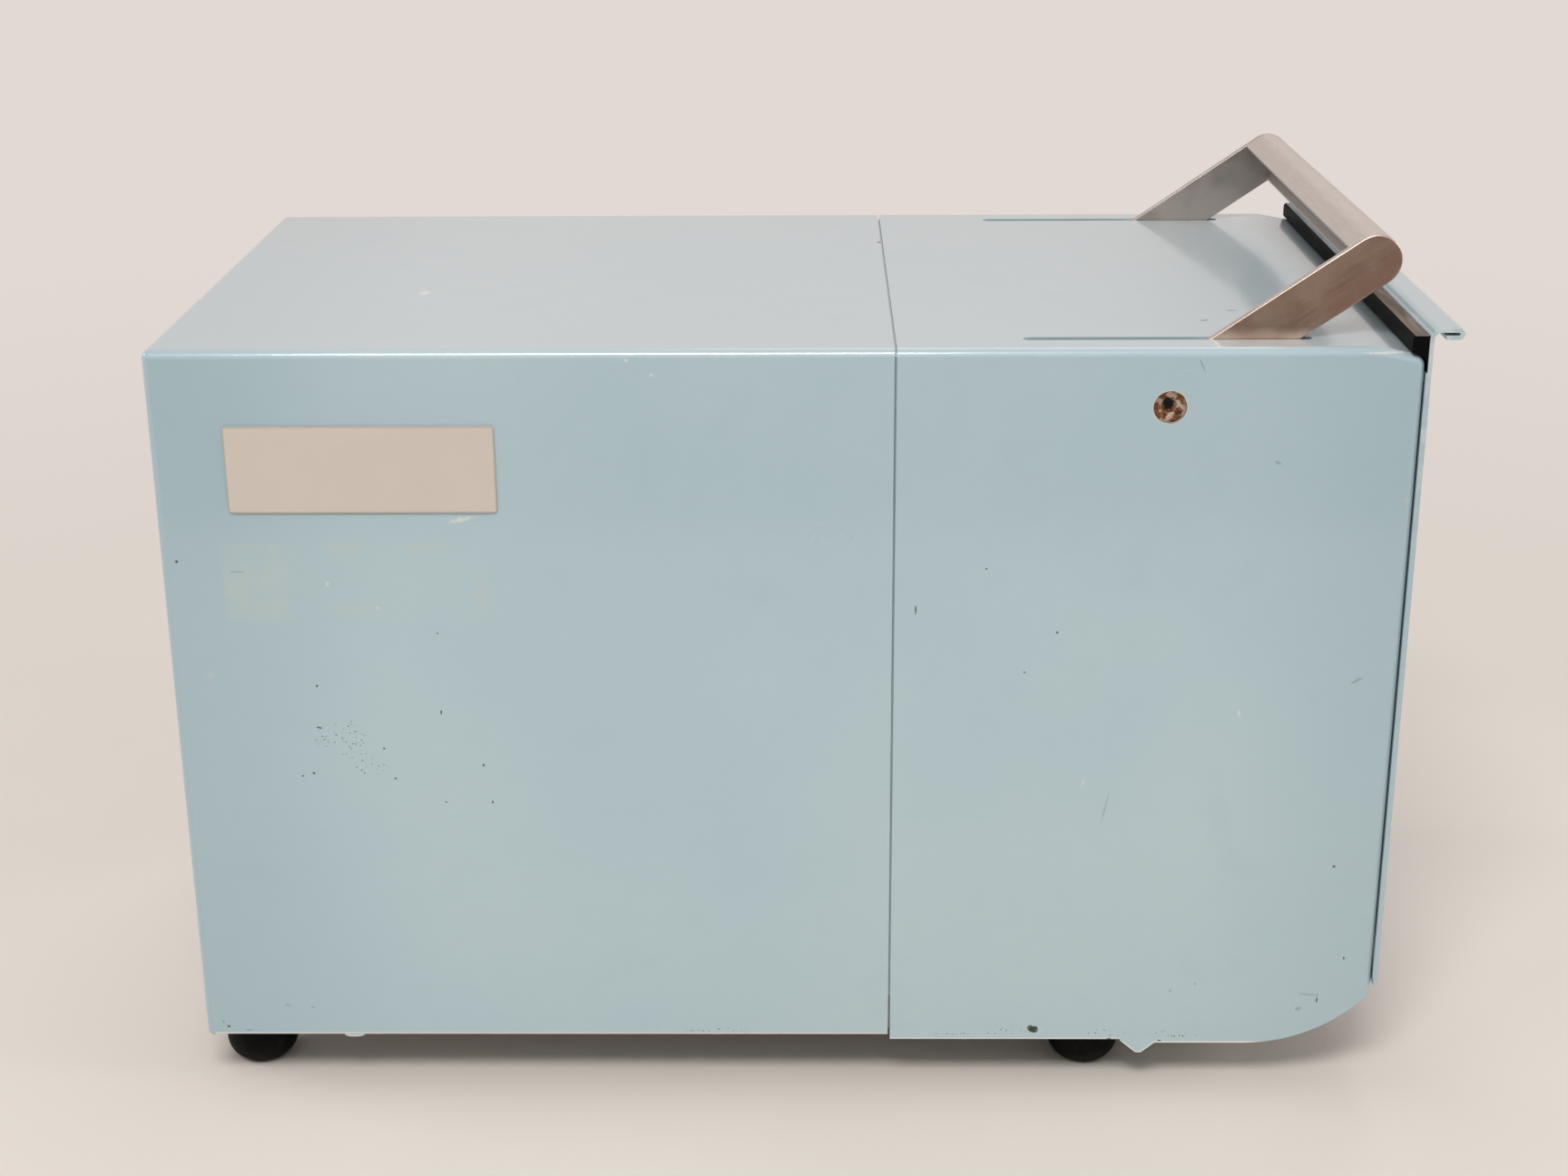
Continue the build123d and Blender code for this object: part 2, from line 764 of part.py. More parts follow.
def pivot_stud():
    """Stud riveted to the right-hand frame plate, which the handle turns on."""
    stud = rod_along_y(pivot_x, pivot_z, stud_radius, y_frame + frame_sheet, handle_outside + stud_proud)
    stud += rod_along_y(pivot_x, pivot_z, stud_radius - rivet_step, y_frame, y_frame + frame_sheet)
    return stud - rod_along_y(pivot_x, pivot_z, pivot_screw_radius, y_frame + frame_sheet, half_width)


def pivot_screw():
    """Shouldered socket screw whose head shows, sunk, in the hole of the front cover."""
    face = half_width - pivot_recess
    seat = face - pivot_head_height
    head = rod_along_y(pivot_x, pivot_z, pivot_head_radius, seat, face)
    head = chamfer(head.edges().group_by(Axis.Y)[-1], pivot_head_chamfer)
    head -= upright(Pos(pivot_x, pivot_z) * RegularPolygon(hex_socket / 2, 6, major_radius=False),
                    face - hex_depth, face + 1)
    shoulder = rod_along_y(pivot_x, pivot_z, stud_radius + bush_wall, handle_outside + stud_proud, seat)
    return head + shoulder + rod_along_y(pivot_x, pivot_z, pivot_screw_radius, y_frame + frame_sheet, seat)


def hinge_pin():
    """Shouldered pin on the right-hand frame plate that the door turns on."""
    pin = rod_along_y(hinge_x, hinge_z, hinge_pin_radius, y_liner + hinge_end_gap, y_frame)
    rivet = rod_along_y(hinge_x, hinge_z, hinge_pin_radius - hinge_rivet_step, y_frame, y_frame + frame_sheet)
    return pin + rivet


parts["chamber_liner"] = chamber_liner()
parts["bulkhead"] = bulkhead()
parts["sill"] = sill()
parts["frame_plate_right"] = frame_plate()
parts["frame_plate_left"] = other_side(parts["frame_plate_right"])
parts["pivot_studs"] = both_sides(pivot_stud())
parts["pivot_screws"] = both_sides(pivot_screw())
parts["hinge_pins"] = both_sides(hinge_pin())


# ---------------------------------------------------------------- handle
def handle_arm():
    """Right-hand flat arm: round nose at the grip, hub at the pivot, lever below it for the cam pin."""
    nose = turned((pivot_x + handle_reach, pivot_z), (pivot_x, pivot_z), handle_angle)
    half = handle_width / 2
    outline = hull((pivot_x, pivot_z, half), (nose[0], nose[1], half))
    outline += Pos(pivot_x, pivot_z) * Circle(hub_radius)
    lever = cam_pin_place(0)
    outline += hull((pivot_x, pivot_z, lever_root_radius), (lever[0], lever[1], cam_boss_radius))
    outline -= Pos(pivot_x, pivot_z) * Circle(stud_radius + running_gap + bush_wall)
    outline -= Pos(*lever) * Circle(cam_pin_radius)
    return upright(outline, y_handle, handle_outside)


def handle_grip():
    """Half tube between the arms, flush with their noses, its straight edges turned to the pivot."""
    half = handle_width / 2
    section = Pos(handle_reach, 0) * Circle(half)
    section += Pos(handle_reach - grip_flange / 2, 0) * Rectangle(grip_flange, 2 * half)
    hollow = Pos(handle_reach, 0) * Circle(half - grip_wall)
    hollow += Pos(handle_reach - half, 0) * Rectangle(2 * half, 2 * (half - grip_wall))
    section -= Pos(handle_reach - grip_flange - half, 0) * Rectangle(2 * half, 2 * half)
    channel = Pos(pivot_x, pivot_z) * (Rot(0, 0, handle_angle) * (section - hollow))
    return upright(channel, -y_handle, y_handle)


def pivot_bush():
    """Flanged bush pressed into the right-hand arm."""
    radius = stud_radius + running_gap + bush_wall
    bush = rod_along_y(pivot_x, pivot_z, radius, y_handle - bush_proud, handle_outside + bush_proud)
    return bush - rod_along_y(pivot_x, pivot_z, stud_radius + running_gap, y_frame, half_width)


def cam_pin():
    """Headed pin in the right-hand lever that reaches in through the frame plate to the door's arm."""
    x, z = cam_pin_place(0)
    pin = rod_along_y(x, z, cam_pin_radius, y_door_arm - side_gap / 2, handle_outside)
    head = rod_along_y(x, z, cam_head_radius, handle_outside, handle_outside + cam_head_height)
    return pin + head


parts["handle_arm_right"] = handle_arm()
parts["handle_arm_left"] = other_side(parts["handle_arm_right"])
parts["handle_grip"] = handle_grip()
parts["pivot_bushes"] = both_sides(pivot_bush())
parts["cam_pins"] = both_sides(cam_pin())


# ---------------------------------------------------------------- door
def door_panel():
    """Folded sheet over the whole front, its top bent out into a lip with a hem under it."""
    outside = door_inside + door_sheet
    tip = x_front + door_lip_reach
    lip_bottom = door_top - door_sheet
    hem_bottom = lip_bottom - door_hem_gap - door_sheet
    section = Pos((door_inside + outside) / 2, (door_bottom + door_top) / 2) * Rectangle(
        door_sheet, door_top - door_bottom)
    section += Pos((door_inside + tip) / 2, door_top - door_sheet / 2) * Rectangle(
        tip - door_inside, door_sheet)
    corner = section.vertices().sort_by_distance((door_inside, door_top))[0]
    section = fillet(corner, door_lip_bend + door_sheet)
    corner = section.vertices().sort_by_distance((outside, lip_bottom))[0]
    section = fillet(corner, door_lip_bend)
    fold_x = tip - (door_top - hem_bottom) / 2
    fold_z = (door_top + hem_bottom) / 2
    fold = Pos(fold_x, fold_z) * Circle(tip - fold_x) - Pos(fold_x, fold_z) * Circle(door_hem_gap / 2)
    fold -= Pos(fold_x - door_hem, fold_z) * Rectangle(2 * door_hem, 2 * door_hem)
    flat = Pos((tip - door_hem + fold_x) / 2, fold_z) * Rectangle(
        fold_x - tip + door_hem, door_top - hem_bottom)
    flat -= Pos(fold_x - door_hem, fold_z) * Rectangle(2 * door_hem, door_hem_gap)
    section -= Pos(tip, fold_z) * Rectangle(2 * (tip - fold_x), 2 * door_hem)
    section += fold + flat
    panel = upright(section, -half_width, half_width)
    foot_fold = block(door_inside - foot_hem, door_inside + door_sheet / 2, -tray_half_width, tray_half_width,
                      door_bottom, door_bottom + door_sheet)
    return panel + foot_fold


def cam_slot():
    """Curved slot in the shut door's arm, along which the cam pin works as handle and door turn together."""
    points = []
    for share in cam_arc_ends:
        points.append(turned(cam_pin_place(share), (hinge_x, hinge_z), share * door_opening))
    return ThreePointArc(*points)


def door_arm():
    """Right-hand side arm of the door: eye at the hinge, stem up the door, arm back to the cam slot."""
    half = door_arm_width / 2
    slot = cam_slot()
    slot_radius = cam_pin_radius + cam_slack
    stem_x = door_inside - half
    heel = (stem_x, hinge_z + door_stem_rise)
    shoulder = (stem_x, pivot_z - cam_radius)
    outline = hull((hinge_x, hinge_z, hinge_eye_radius), (*heel, half))
    outline += hull((*heel, half), (*shoulder, half))
    outline += hull((*shoulder, half), ((slot @ 1).X, (slot @ 1).Y, half))
    outline += SlotArc(slot, 2 * (slot_radius + cam_web))
    outline -= SlotArc(slot, 2 * slot_radius)
    outline -= Pos(hinge_x, hinge_z) * Circle(hinge_pin_radius + running_gap)
    arm = upright(outline, y_door_arm, y_door_arm + door_arm_sheet)
    flange = block(door_inside - door_arm_sheet, door_inside, y_door_arm, y_door_arm + door_flange,
                   heel[1], shoulder[1])
    for z in nut_heights:
        flange -= rod_along_x(nut_offset, z, door_stud_radius, door_inside - door_arm_sheet, door_inside)
    return arm + flange


def door_nut(y, z):
    """Nut on a stud that is welded to the door panel."""
    seat = door_inside - door_arm_sheet
    nut = crosswise(Pos(y, z) * RegularPolygon(door_nut_width / 2, 6, major_radius=False),
                    seat - door_nut_height, seat)
    return nut + rod_along_x(y, z, door_stud_radius, seat, door_inside)


def door_liner():
    """Shallow stainless pan on the inside of the door, which the bag is pressed against."""
    low = chamber_floor + door_pan_margin
    high = chamber_top - door_pan_margin
    half = chamber_half_width - door_pan_side_margin
    pan = block(door_inside - door_pan_depth, door_inside, -half, half, low, high)
    pan = fillet(pan.edges().filter_by(Axis.X), door_pan_corner)
    pan = fillet(pan.edges().group_by(Axis.X)[0], door_pan_bend)
    room = block(door_inside - door_pan_depth + door_pan_sheet, door_inside, -half + door_pan_sheet,
                 half - door_pan_sheet, low + door_pan_sheet, high - door_pan_sheet)
    return pan - fillet(room.edges().filter_by(Axis.X), door_pan_corner - door_pan_sheet)


def door_gasket():
    """Rubber wedge along the door's top, shaped to the front cover's rounded corner."""
    top = door_top - door_lip_bend
    edge = door_inside - gasket_top_width
    wedge = Polygon((door_inside, top), (edge + gasket_chamfer, top), (edge, top - gasket_chamfer),
                    (edge, top - gasket_side), (door_inside, top - gasket_depth), align=None)
    strip = upright(wedge, -half_width, half_width)
    keep_off = upright(offset(front_outline(), cover_gap), -half_width, half_width)
    return strip - keep_off


parts["door_panel"] = door_panel()
parts["door_arm_right"] = door_arm()
parts["door_arm_left"] = other_side(parts["door_arm_right"])
parts["door_liner"] = door_liner()
parts["door_gasket"] = door_gasket()
parts["door_nuts"] = group(door_nut(side * nut_offset, z) for side in (-1, 1) for z in nut_heights)


# ---------------------------------------------------------------- paddles
def paddle(side):
    """Thick plate with rounded corners and two spigot holes in its back."""
    y = side * paddle_offset
    plate = block(paddle_back, paddle_face, y - paddle_width / 2, y + paddle_width / 2,
                  crank_height - paddle_height / 2, crank_height + paddle_height / 2)
    plate = fillet(plate.edges().filter_by(Axis.X), paddle_corner)
    plate = fillet(plate.edges().group_by(Axis.X)[-1], paddle_edge)
    for end in (-1, 1):
        z = crank_height + end * rod_pitch / 2
        plate -= rod_along_x(y, z, spigot_radius, paddle_back, paddle_back + spigot_length)
    return plate


def guide_rod(y, z):
    """Rod from the yoke to the paddle, with a spigot at each end."""
    start = crank_x + yoke_half_length
    rod = rod_along_x(y, z, rod_radius, start, paddle_back)
    return rod + rod_along_x(y, z, spigot_radius, start - spigot_length, paddle_back + spigot_length)


def yoke(side):
    """Plate with an upright slot that the crank's roller pushes to and fro."""
    outline = Pos(crank_x, crank_height) * RectangleRounded(
        2 * yoke_half_length, yoke_slot_height + 2 * yoke_wall, yoke_corner)
    outline -= Pos(crank_x, crank_height) * RectangleRounded(
        yoke_slot_width, yoke_slot_height, yoke_slot_corner)
    y = side * paddle_offset
    plate = upright(outline, y - yoke_width / 2, y + yoke_width / 2)
    for end in (-1, 1):
        z = crank_height + end * rod_pitch / 2
        front = crank_x + yoke_half_length
        plate -= rod_along_x(y, z, spigot_radius, front - spigot_length, front)
    return plate


def rod_bush(y, z):
    """Flanged bush through the bulkhead and the chamber's back."""
    back = liner_back + liner_sheet - rod_bush_length
    bush = rod_along_x(y, z, rod_radius + rod_bush_wall, back, liner_back + liner_sheet)
    flange_radius = rod_radius + rod_bush_wall + rod_bush_flange
    bush += rod_along_x(y, z, flange_radius, bulkhead_back - rod_bush_flange, bulkhead_back)
    return bush - rod_along_x(y, z, rod_radius + running_gap, back - 1, liner_front)


def rod_seal(y, z):
    """Rubber ring that wipes the rod where it enters the chamber."""
    start = liner_back + liner_sheet
    ring = rod_along_x(y, z, rod_radius + rod_bush_wall + rod_seal_lip, start, start + rod_seal_length)
    ring = fillet(ring.edges().group_by(Axis.X)[-1], rod_seal_edge)
    return ring - rod_along_x(y, z, rod_radius + running_gap, start - 1, liner_front)


for name, side in (("left", -1), ("right", 1)):
    parts["paddle_" + name] = paddle(side)
    parts["guide_rods_" + name] = group(guide_rod(y, z) for y, z in rod_places() if y * side > 0)
    parts["yoke_" + name] = yoke(side)
parts["rod_bushes"] = group(rod_bush(y, z) for y, z in rod_places())
parts["rod_seals"] = group(rod_seal(y, z) for y, z in rod_places())


# ---------------------------------------------------------------- crankshaft
def crankshaft():
    """Shaft with two throws half a turn apart, left one up, and webs on both sides of each throw."""
    inner_web = paddle_offset - crank_pin_length / 2 - crank_web_width
    outer_web = paddle_offset + crank_pin_length / 2
    shaft = rod_along_y(crank_x, crank_height, journal_radius, -inner_web, inner_web)
    for side in (-1, 1):
        pin_z = crank_height - side * crank_throw
        for start in (inner_web, outer_web):
            low, high = sorted((side * start, side * (start + crank_web_width)))
            outline = hull((crank_x, crank_height, journal_radius + crank_web_margin),
                           (crank_x, pin_z, crank_pin_radius + crank_web_margin))
            outline += Pos(crank_x, crank_height) * Circle(crank_web_radius) - Pos(
                crank_x, crank_height - side * crank_web_radius) * Rectangle(
                    2 * crank_web_radius, 2 * crank_web_radius)
            shaft += upright(outline, low, high)
        low, high = sorted((side * (inner_web + crank_web_width), side * outer_web))
        shaft += rod_along_y(crank_x, pin_z, crank_pin_radius, low, high)
    left_end = bracket_offset + bracket_width
    right_end = pulley_offset + pulley_width / 2
    shaft += rod_along_y(crank_x, crank_height, journal_radius, -left_end, -outer_web - crank_web_width)
    shaft += rod_along_y(crank_x, crank_height, journal_radius, outer_web + crank_web_width, right_end)
    return shaft


def crank_roller(side):
    """Roller on a crank throw."""
    z = crank_height - side * crank_throw
    y = side * paddle_offset
    ring = rod_along_y(crank_x, z, roller_radius, y - roller_width / 2, y + roller_width / 2)
    return ring - rod_along_y(crank_x, z, crank_pin_radius, y - roller_width, y + roller_width)


def crank_bracket():
    """Right-hand bearing bracket: upright plate with a turned-in foot."""
    half = bracket_length / 2
    toe = bracket_toe_radius
    outline = hull((crank_x, crank_height, bearing_radius + bracket_margin),
                   (crank_x - half, tray_top + toe, toe), (crank_x + half, tray_top + toe, toe))
    outline += Pos(crank_x, tray_top + toe / 2) * Rectangle(2 * (half + toe), toe)
    outline -= Pos(crank_x, crank_height) * Circle(bearing_radius)
    outline -= Pos(crank_x, (tray_top + crank_height) / 2 - toe) * RectangleRounded(*bracket_window, toe)
    low = bracket_offset - bracket_width / 2
    bracket = upright(outline, low, low + bracket_width)
    return bracket + block(crank_x - half - toe, crank_x + half + toe, low - bracket_foot_depth, low,
                           tray_top, tray_top + bracket_foot_sheet)


def crank_bearing():
    """Right-hand ball bearing, as its outer and inner ring in one."""
    low = bracket_offset - bracket_width / 2
    ring = rod_along_y(crank_x, crank_height, bearing_radius, low, low + bracket_width)
    return ring - rod_along_y(crank_x, crank_height, journal_radius + running_gap, low - 1, half_width)


def pulley(x, z, radius, bore):
    """Flat-belt pulley with a rim on each side; a large one has a thin web with holes."""
    low = pulley_offset - pulley_width / 2
    high = pulley_offset + pulley_width / 2
    groove_low = pulley_offset - belt_width / 2 - belt_gap
    groove_high = pulley_offset + belt_width / 2 + belt_gap
    wheel = rod_along_y(x, z, radius + pulley_rim, low, high)
    wheel -= (rod_along_y(x, z, radius + 2 * pulley_rim, groove_low, groove_high)
              - rod_along_y(x, z, radius, groove_low, groove_high))
    if radius > 4 * bore:
        dish = Pos(x, z) * Circle(radius - pulley_felloe) - Pos(x, z) * Circle(bore + pulley_boss)
        wheel -= upright(dish, low, low + pulley_width / 3)
        wheel -= upright(dish, high - pulley_width / 3, high)
        hole_reach = (radius - pulley_felloe + bore + pulley_boss) / 2
        for turn in range(pulley_holes):
            hole = turned((x + hole_reach, z), (x, z), turn * 360 / pulley_holes)
            wheel -= rod_along_y(*hole, radius / pulley_holes, low, high)
    return wheel - rod_along_y(x, z, bore, low, high)


def drive_belt():
    """Flat belt around both pulleys, a hair clear of them."""
    inner = belt_gap
    outer = belt_gap + belt_thickness
    loop = hull((crank_x, crank_height, crank_pulley_radius + outer),
                (motor_x, motor_height, motor_pulley_radius + outer))
    loop -= hull((crank_x, crank_height, crank_pulley_radius + inner),
                 (motor_x, motor_height, motor_pulley_radius + inner))
    return upright(loop, pulley_offset - belt_width / 2, pulley_offset + belt_width / 2)


parts["crankshaft"] = crankshaft()
parts["crank_rollers"] = group(crank_roller(side) for side in (-1, 1))
parts["crank_bracket_right"] = crank_bracket()
parts["crank_bracket_left"] = other_side(parts["crank_bracket_right"])
parts["crank_bearings"] = both_sides(crank_bearing())
parts["crank_pulley"] = pulley(crank_x, crank_height, crank_pulley_radius, journal_radius)
parts["drive_belt"] = drive_belt()


# ---------------------------------------------------------------- motor
def motor_body():
    """Ribbed stator housing."""
    barrel = Pos(motor_x, motor_height) * Circle(motor_radius - motor_fin_depth)
    fin = Pos(motor_radius - motor_fin_depth, 0) * Rectangle(2 * motor_fin_depth, motor_fin_width)
    for turn in range(motor_fin_count):
        barrel += Pos(motor_x, motor_height) * (Rot(0, 0, turn * 360 / motor_fin_count) * fin)
    barrel &= Pos(motor_x, motor_height) * Circle(motor_radius)
    barrel -= Pos(motor_x, motor_height) * Circle(motor_rotor_radius + motor_air_gap)
    return upright(barrel, motor_left, motor_right)


def end_bell(start, end):
    """Cast end bell with the bearing bore."""
    bell = rod_along_y(motor_x, motor_height, motor_radius - motor_fin_depth / 2, start, end)
    outer = bell.edges().group_by(Axis.Y)[0 if end < 0 else -1]
    bell = fillet(outer, motor_bell_edge)
    return bell - rod_along_y(motor_x, motor_height, motor_shaft_radius + running_gap, start - 1, end + 1)


def motor_cradle():
    """Two saddle ribs on a base plate."""
    half = motor_radius * 0.8
    rib_top = motor_height - cradle_drop
    outline = Pos(motor_x, (tray_top + rib_top) / 2) * Rectangle(2 * half, rib_top - tray_top)
    outline -= Pos(motor_x, motor_height) * Circle(motor_radius)
    left_rib = motor_left + cradle_rib_inset
    right_rib = motor_right - cradle_rib_inset
    cradle = upright(outline, left_rib, left_rib + cradle_rib)
    cradle += upright(outline, right_rib - cradle_rib, right_rib)
    return cradle + block(motor_x - half, motor_x + half, motor_left + cradle_foot_inset,
                          motor_right - cradle_foot_inset, tray_top, tray_top + cradle_foot_sheet)


def rotor():
    """Rotor core on its shaft, which reaches out to the fan and to the pulley."""
    shaft_right = pulley_offset + pulley_width / 2
    shaft = rod_along_y(motor_x, motor_height, motor_shaft_radius, shaft_left, shaft_right)
    return shaft + rod_along_y(motor_x, motor_height, motor_rotor_radius,
                               motor_left + motor_rotor_setback, motor_right - motor_rotor_setback)


def cooling_fan():
    """Radial fan on the shaft's left end."""
    low = shaft_left + fan_end_gap
    high = low + fan_width
    hub = motor_shaft_radius + fan_hub
    fan = rod_along_y(motor_x, motor_height, fan_radius, high - fan_disc, high)
    fan += rod_along_y(motor_x, motor_height, hub, low, high)
    root = hub - fan_disc
    blade = Pos((fan_radius + root) / 2, 0) * Rectangle(fan_radius - root, fan_blade_sheet)
    for turn in range(fan_blades):
        outline = Pos(motor_x, motor_height) * (Rot(0, 0, turn * 360 / fan_blades) * blade)
        fan += upright(outline, low, high)
    return fan - rod_along_y(motor_x, motor_height, motor_shaft_radius, low - 1, high + 1)


parts["motor_body"] = motor_body()
parts["motor_bells"] = group([end_bell(motor_left - motor_bell, motor_left),
                              end_bell(motor_right, motor_right + motor_bell)])
parts["motor_cradle"] = motor_cradle()
parts["motor_rotor"] = rotor()
parts["motor_pulley"] = pulley(motor_x, motor_height, motor_pulley_radius, motor_shaft_radius)
parts["cooling_fan"] = cooling_fan()
parts["run_capacitor"] = rod_along_y(capacitor_x, tray_top + capacitor_radius, capacitor_radius,
                                     capacitor_y, capacitor_y + capacitor_length)
parts["terminal_block"] = block(terminal_x, terminal_x + terminal_size[0],
                                terminal_y, terminal_y + terminal_size[1],
                                tray_top, tray_top + terminal_size[2])


# ---------------------------------------------------------------- controls in their recess
def control_recess():
    """Pressed tray let into the right-hand side, with holes for the knob's shaft, the switch and the lamp."""
    hole = Pos(panel_x, panel_height) * RectangleRounded(panel_length, panel_rise, panel_corner)
    inner = Pos(panel_x, panel_height) * RectangleRounded(
        panel_length - 2 * panel_sheet, panel_rise - 2 * panel_sheet, panel_corner - panel_sheet)
    rim = Pos(panel_x, panel_height) * RectangleRounded(
        panel_length + 2 * panel_rim, panel_rise + 2 * panel_rim, panel_corner + panel_rim)
    recess = upright(hole, panel_face - panel_sheet, cover_inside)
    recess += upright(rim, cover_inside - panel_sheet, cover_inside)
    recess -= upright(inner, panel_face, half_width)
    floor = panel_face - panel_sheet
    switch_hole = Rectangle(rocker_width + 2 * switch_wall, 2 * (rocker_radius + switch_wall))
    recess -= rod_along_y(knob_x, panel_height, 2 * knob_shaft_radius, floor, half_width)
    recess -= upright(Pos(rocker_x, panel_height) * switch_hole, floor, half_width)
    return recess - rod_along_y(lamp_x, panel_height, lamp_radius, floor, half_width)


def timer_knob():
    """Round knob with a skirt and flutes for the fingers."""
    seat = panel_face + knob_gap
    skirt_top = seat + knob_skirt_height
    top = seat + knob_height
    knob = rod_along_y(knob_x, panel_height, knob_skirt_radius, seat, skirt_top)
    grip = rod_along_y(knob_x, panel_height, knob_radius, skirt_top, top)
    rim = (knob_x + knob_radius + knob_flute_reach, panel_height)
    for turn in range(knob_flutes):
        flute = turned(rim, (knob_x, panel_height), (turn + 0.5) * 360 / knob_flutes)
        grip -= rod_along_y(*flute, knob_flute_radius, skirt_top, top)
    knob += grip
    return knob - rod_along_y(knob_x, panel_height, knob_shaft_radius + running_gap, seat, top - knob_crown)


def timer_body():
    """Clockwork timer behind the recess, with the shaft that carries the knob."""
    back = panel_face - panel_sheet
    length, depth, rise = timer_size
    outline = RectangleRounded(length, rise, timer_corner)
    body = upright(Pos(knob_x, panel_height) * outline, back - depth, back)
    shaft_end = panel_face + knob_height - knob_crown - knob_gap
    return body + rod_along_y(knob_x, panel_height, knob_shaft_radius, back, shaft_end)


def rocker():
    """Rocker with a shallow V-shaped face, resting on its lower half."""
    lift = rocker_rise + rocker_radius * math.tan(math.radians(rocker_tilt))
    face = Polygon((-rocker_radius, -rocker_radius), (-rocker_radius, lift), (0, rocker_rise),
                   (rocker_radius, lift), (rocker_radius, -rocker_radius), align=None)
    section = Circle(rocker_radius) & face
    section = Rot(0, 0, rocker_tilt) * section
    section = Pos(panel_height, rocker_y) * section
    half = rocker_width / 2
    plane = Plane(origin=(rocker_x - half, 0, 0), x_dir=(0, 0, 1), z_dir=(-1, 0, 0))
    return extrude(plane * section, amount=-rocker_width)


def switch_body():
    """Switch housing with a bezel on the recess's floor and a round cavity for the rocker."""
    back = panel_face - panel_sheet
    half_x = rocker_width / 2 + switch_wall
    half_z = rocker_radius + switch_wall
    body = block(rocker_x - half_x, rocker_x + half_x, back - switch_depth, panel_face,
                 panel_height - half_z, panel_height + half_z)
    half_x += bezel_flange
    half_z += bezel_flange
    bezel = block(rocker_x - half_x, rocker_x + half_x, panel_face, panel_face + bezel_flange,
                  panel_height - half_z, panel_height + half_z)
    body += fillet(bezel.edges().filter_by(Axis.Y), bezel_flange)
    clear = rocker_radius + rocker_gap
    cavity_half = rocker_width / 2 + rocker_gap
    plane = Plane(origin=(rocker_x - cavity_half, 0, 0), x_dir=(0, 0, 1), z_dir=(-1, 0, 0))
    body -= extrude(plane * (Pos(panel_height, rocker_y) * Circle(clear)), amount=-2 * cavity_half)
    body -= block(rocker_x - cavity_half, rocker_x + cavity_half, rocker_y, half_width,
                  panel_height - clear, panel_height + clear)
    return body


def pilot_lamp():
    """Neon lamp: domed lens in front, body behind the recess's floor."""
    lens = rod_along_y(lamp_x, panel_height, lamp_radius + lamp_lens_flange,
                       panel_face, panel_face + lamp_lens_height)
    lens = fillet(lens.edges().group_by(Axis.Y)[-1], lamp_lens_edge)
    return lens + rod_along_y(lamp_x, panel_height, lamp_radius, panel_face - lamp_depth, panel_face)


parts["control_recess"] = control_recess()
parts["timer_knob"] = timer_knob()
parts["timer_body"] = timer_body()
parts["power_rocker"] = rocker()
parts["switch_body"] = switch_body()
parts["pilot_lamp"] = pilot_lamp()


# ---------------------------------------------------------------- electrical pieces at the back
def mains_inlet():
    """Appliance inlet: flanged socket with three flat pins."""
    flange = crosswise(Pos(inlet_offset, inlet_height) * RectangleRounded(
        inlet_width + 2 * inlet_flange, inlet_rise + 2 * inlet_flange, inlet_flange),
                       x_back - inlet_proud, x_back)
    shell = crosswise(Pos(inlet_offset, inlet_height) * Rectangle(inlet_width, inlet_rise),
                      x_back, x_back + inlet_depth)
    inlet = flange + shell
    socket = Pos(inlet_offset, inlet_height) * RectangleRounded(
        inlet_width - 2 * inlet_wall, inlet_rise - 2 * inlet_wall, inlet_flange)
    inlet -= crosswise(socket, x_back - inlet_proud, x_back + inlet_depth - inlet_wall)
    for y, z in pin_places:
        middle_y = inlet_offset + y
        middle_z = inlet_height + z
        inlet += block(x_back + pin_recess, x_back + inlet_depth, middle_y - pin_width / 2,
                       middle_y + pin_width / 2, middle_z - pin_rise / 2, middle_z + pin_rise / 2)
    return inlet


def fuse_holder():
    """Screw-cap fuse holder."""
    front = x_back - fuse_cap_height
    cap = rod_along_x(fuse_offset, inlet_height, fuse_radius + fuse_cap_wall, front, x_back)
    cap = fillet(cap.edges().group_by(Axis.X)[0], fuse_slot_depth)
    cap -= block(front, front + fuse_slot_depth, fuse_offset - fuse_radius, fuse_offset + fuse_radius,
                 inlet_height - fuse_slot_width / 2, inlet_height + fuse_slot_width / 2)
    return cap + rod_along_x(fuse_offset, inlet_height, fuse_radius, x_back, x_back + fuse_length)


parts["mains_inlet"] = mains_inlet()
parts["fuse_holder"] = fuse_holder()

# ---------------------------------------------------------------- files
os.makedirs("parts", exist_ok=True)
for name, shape in parts.items():
    export_step(shape, f"parts/{name}.step")
print(len(parts), "pieces written")
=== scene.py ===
import json
import math

import bmesh
import bpy
from mathutils import Matrix, Vector
from mathutils.bvhtree import BVHTree

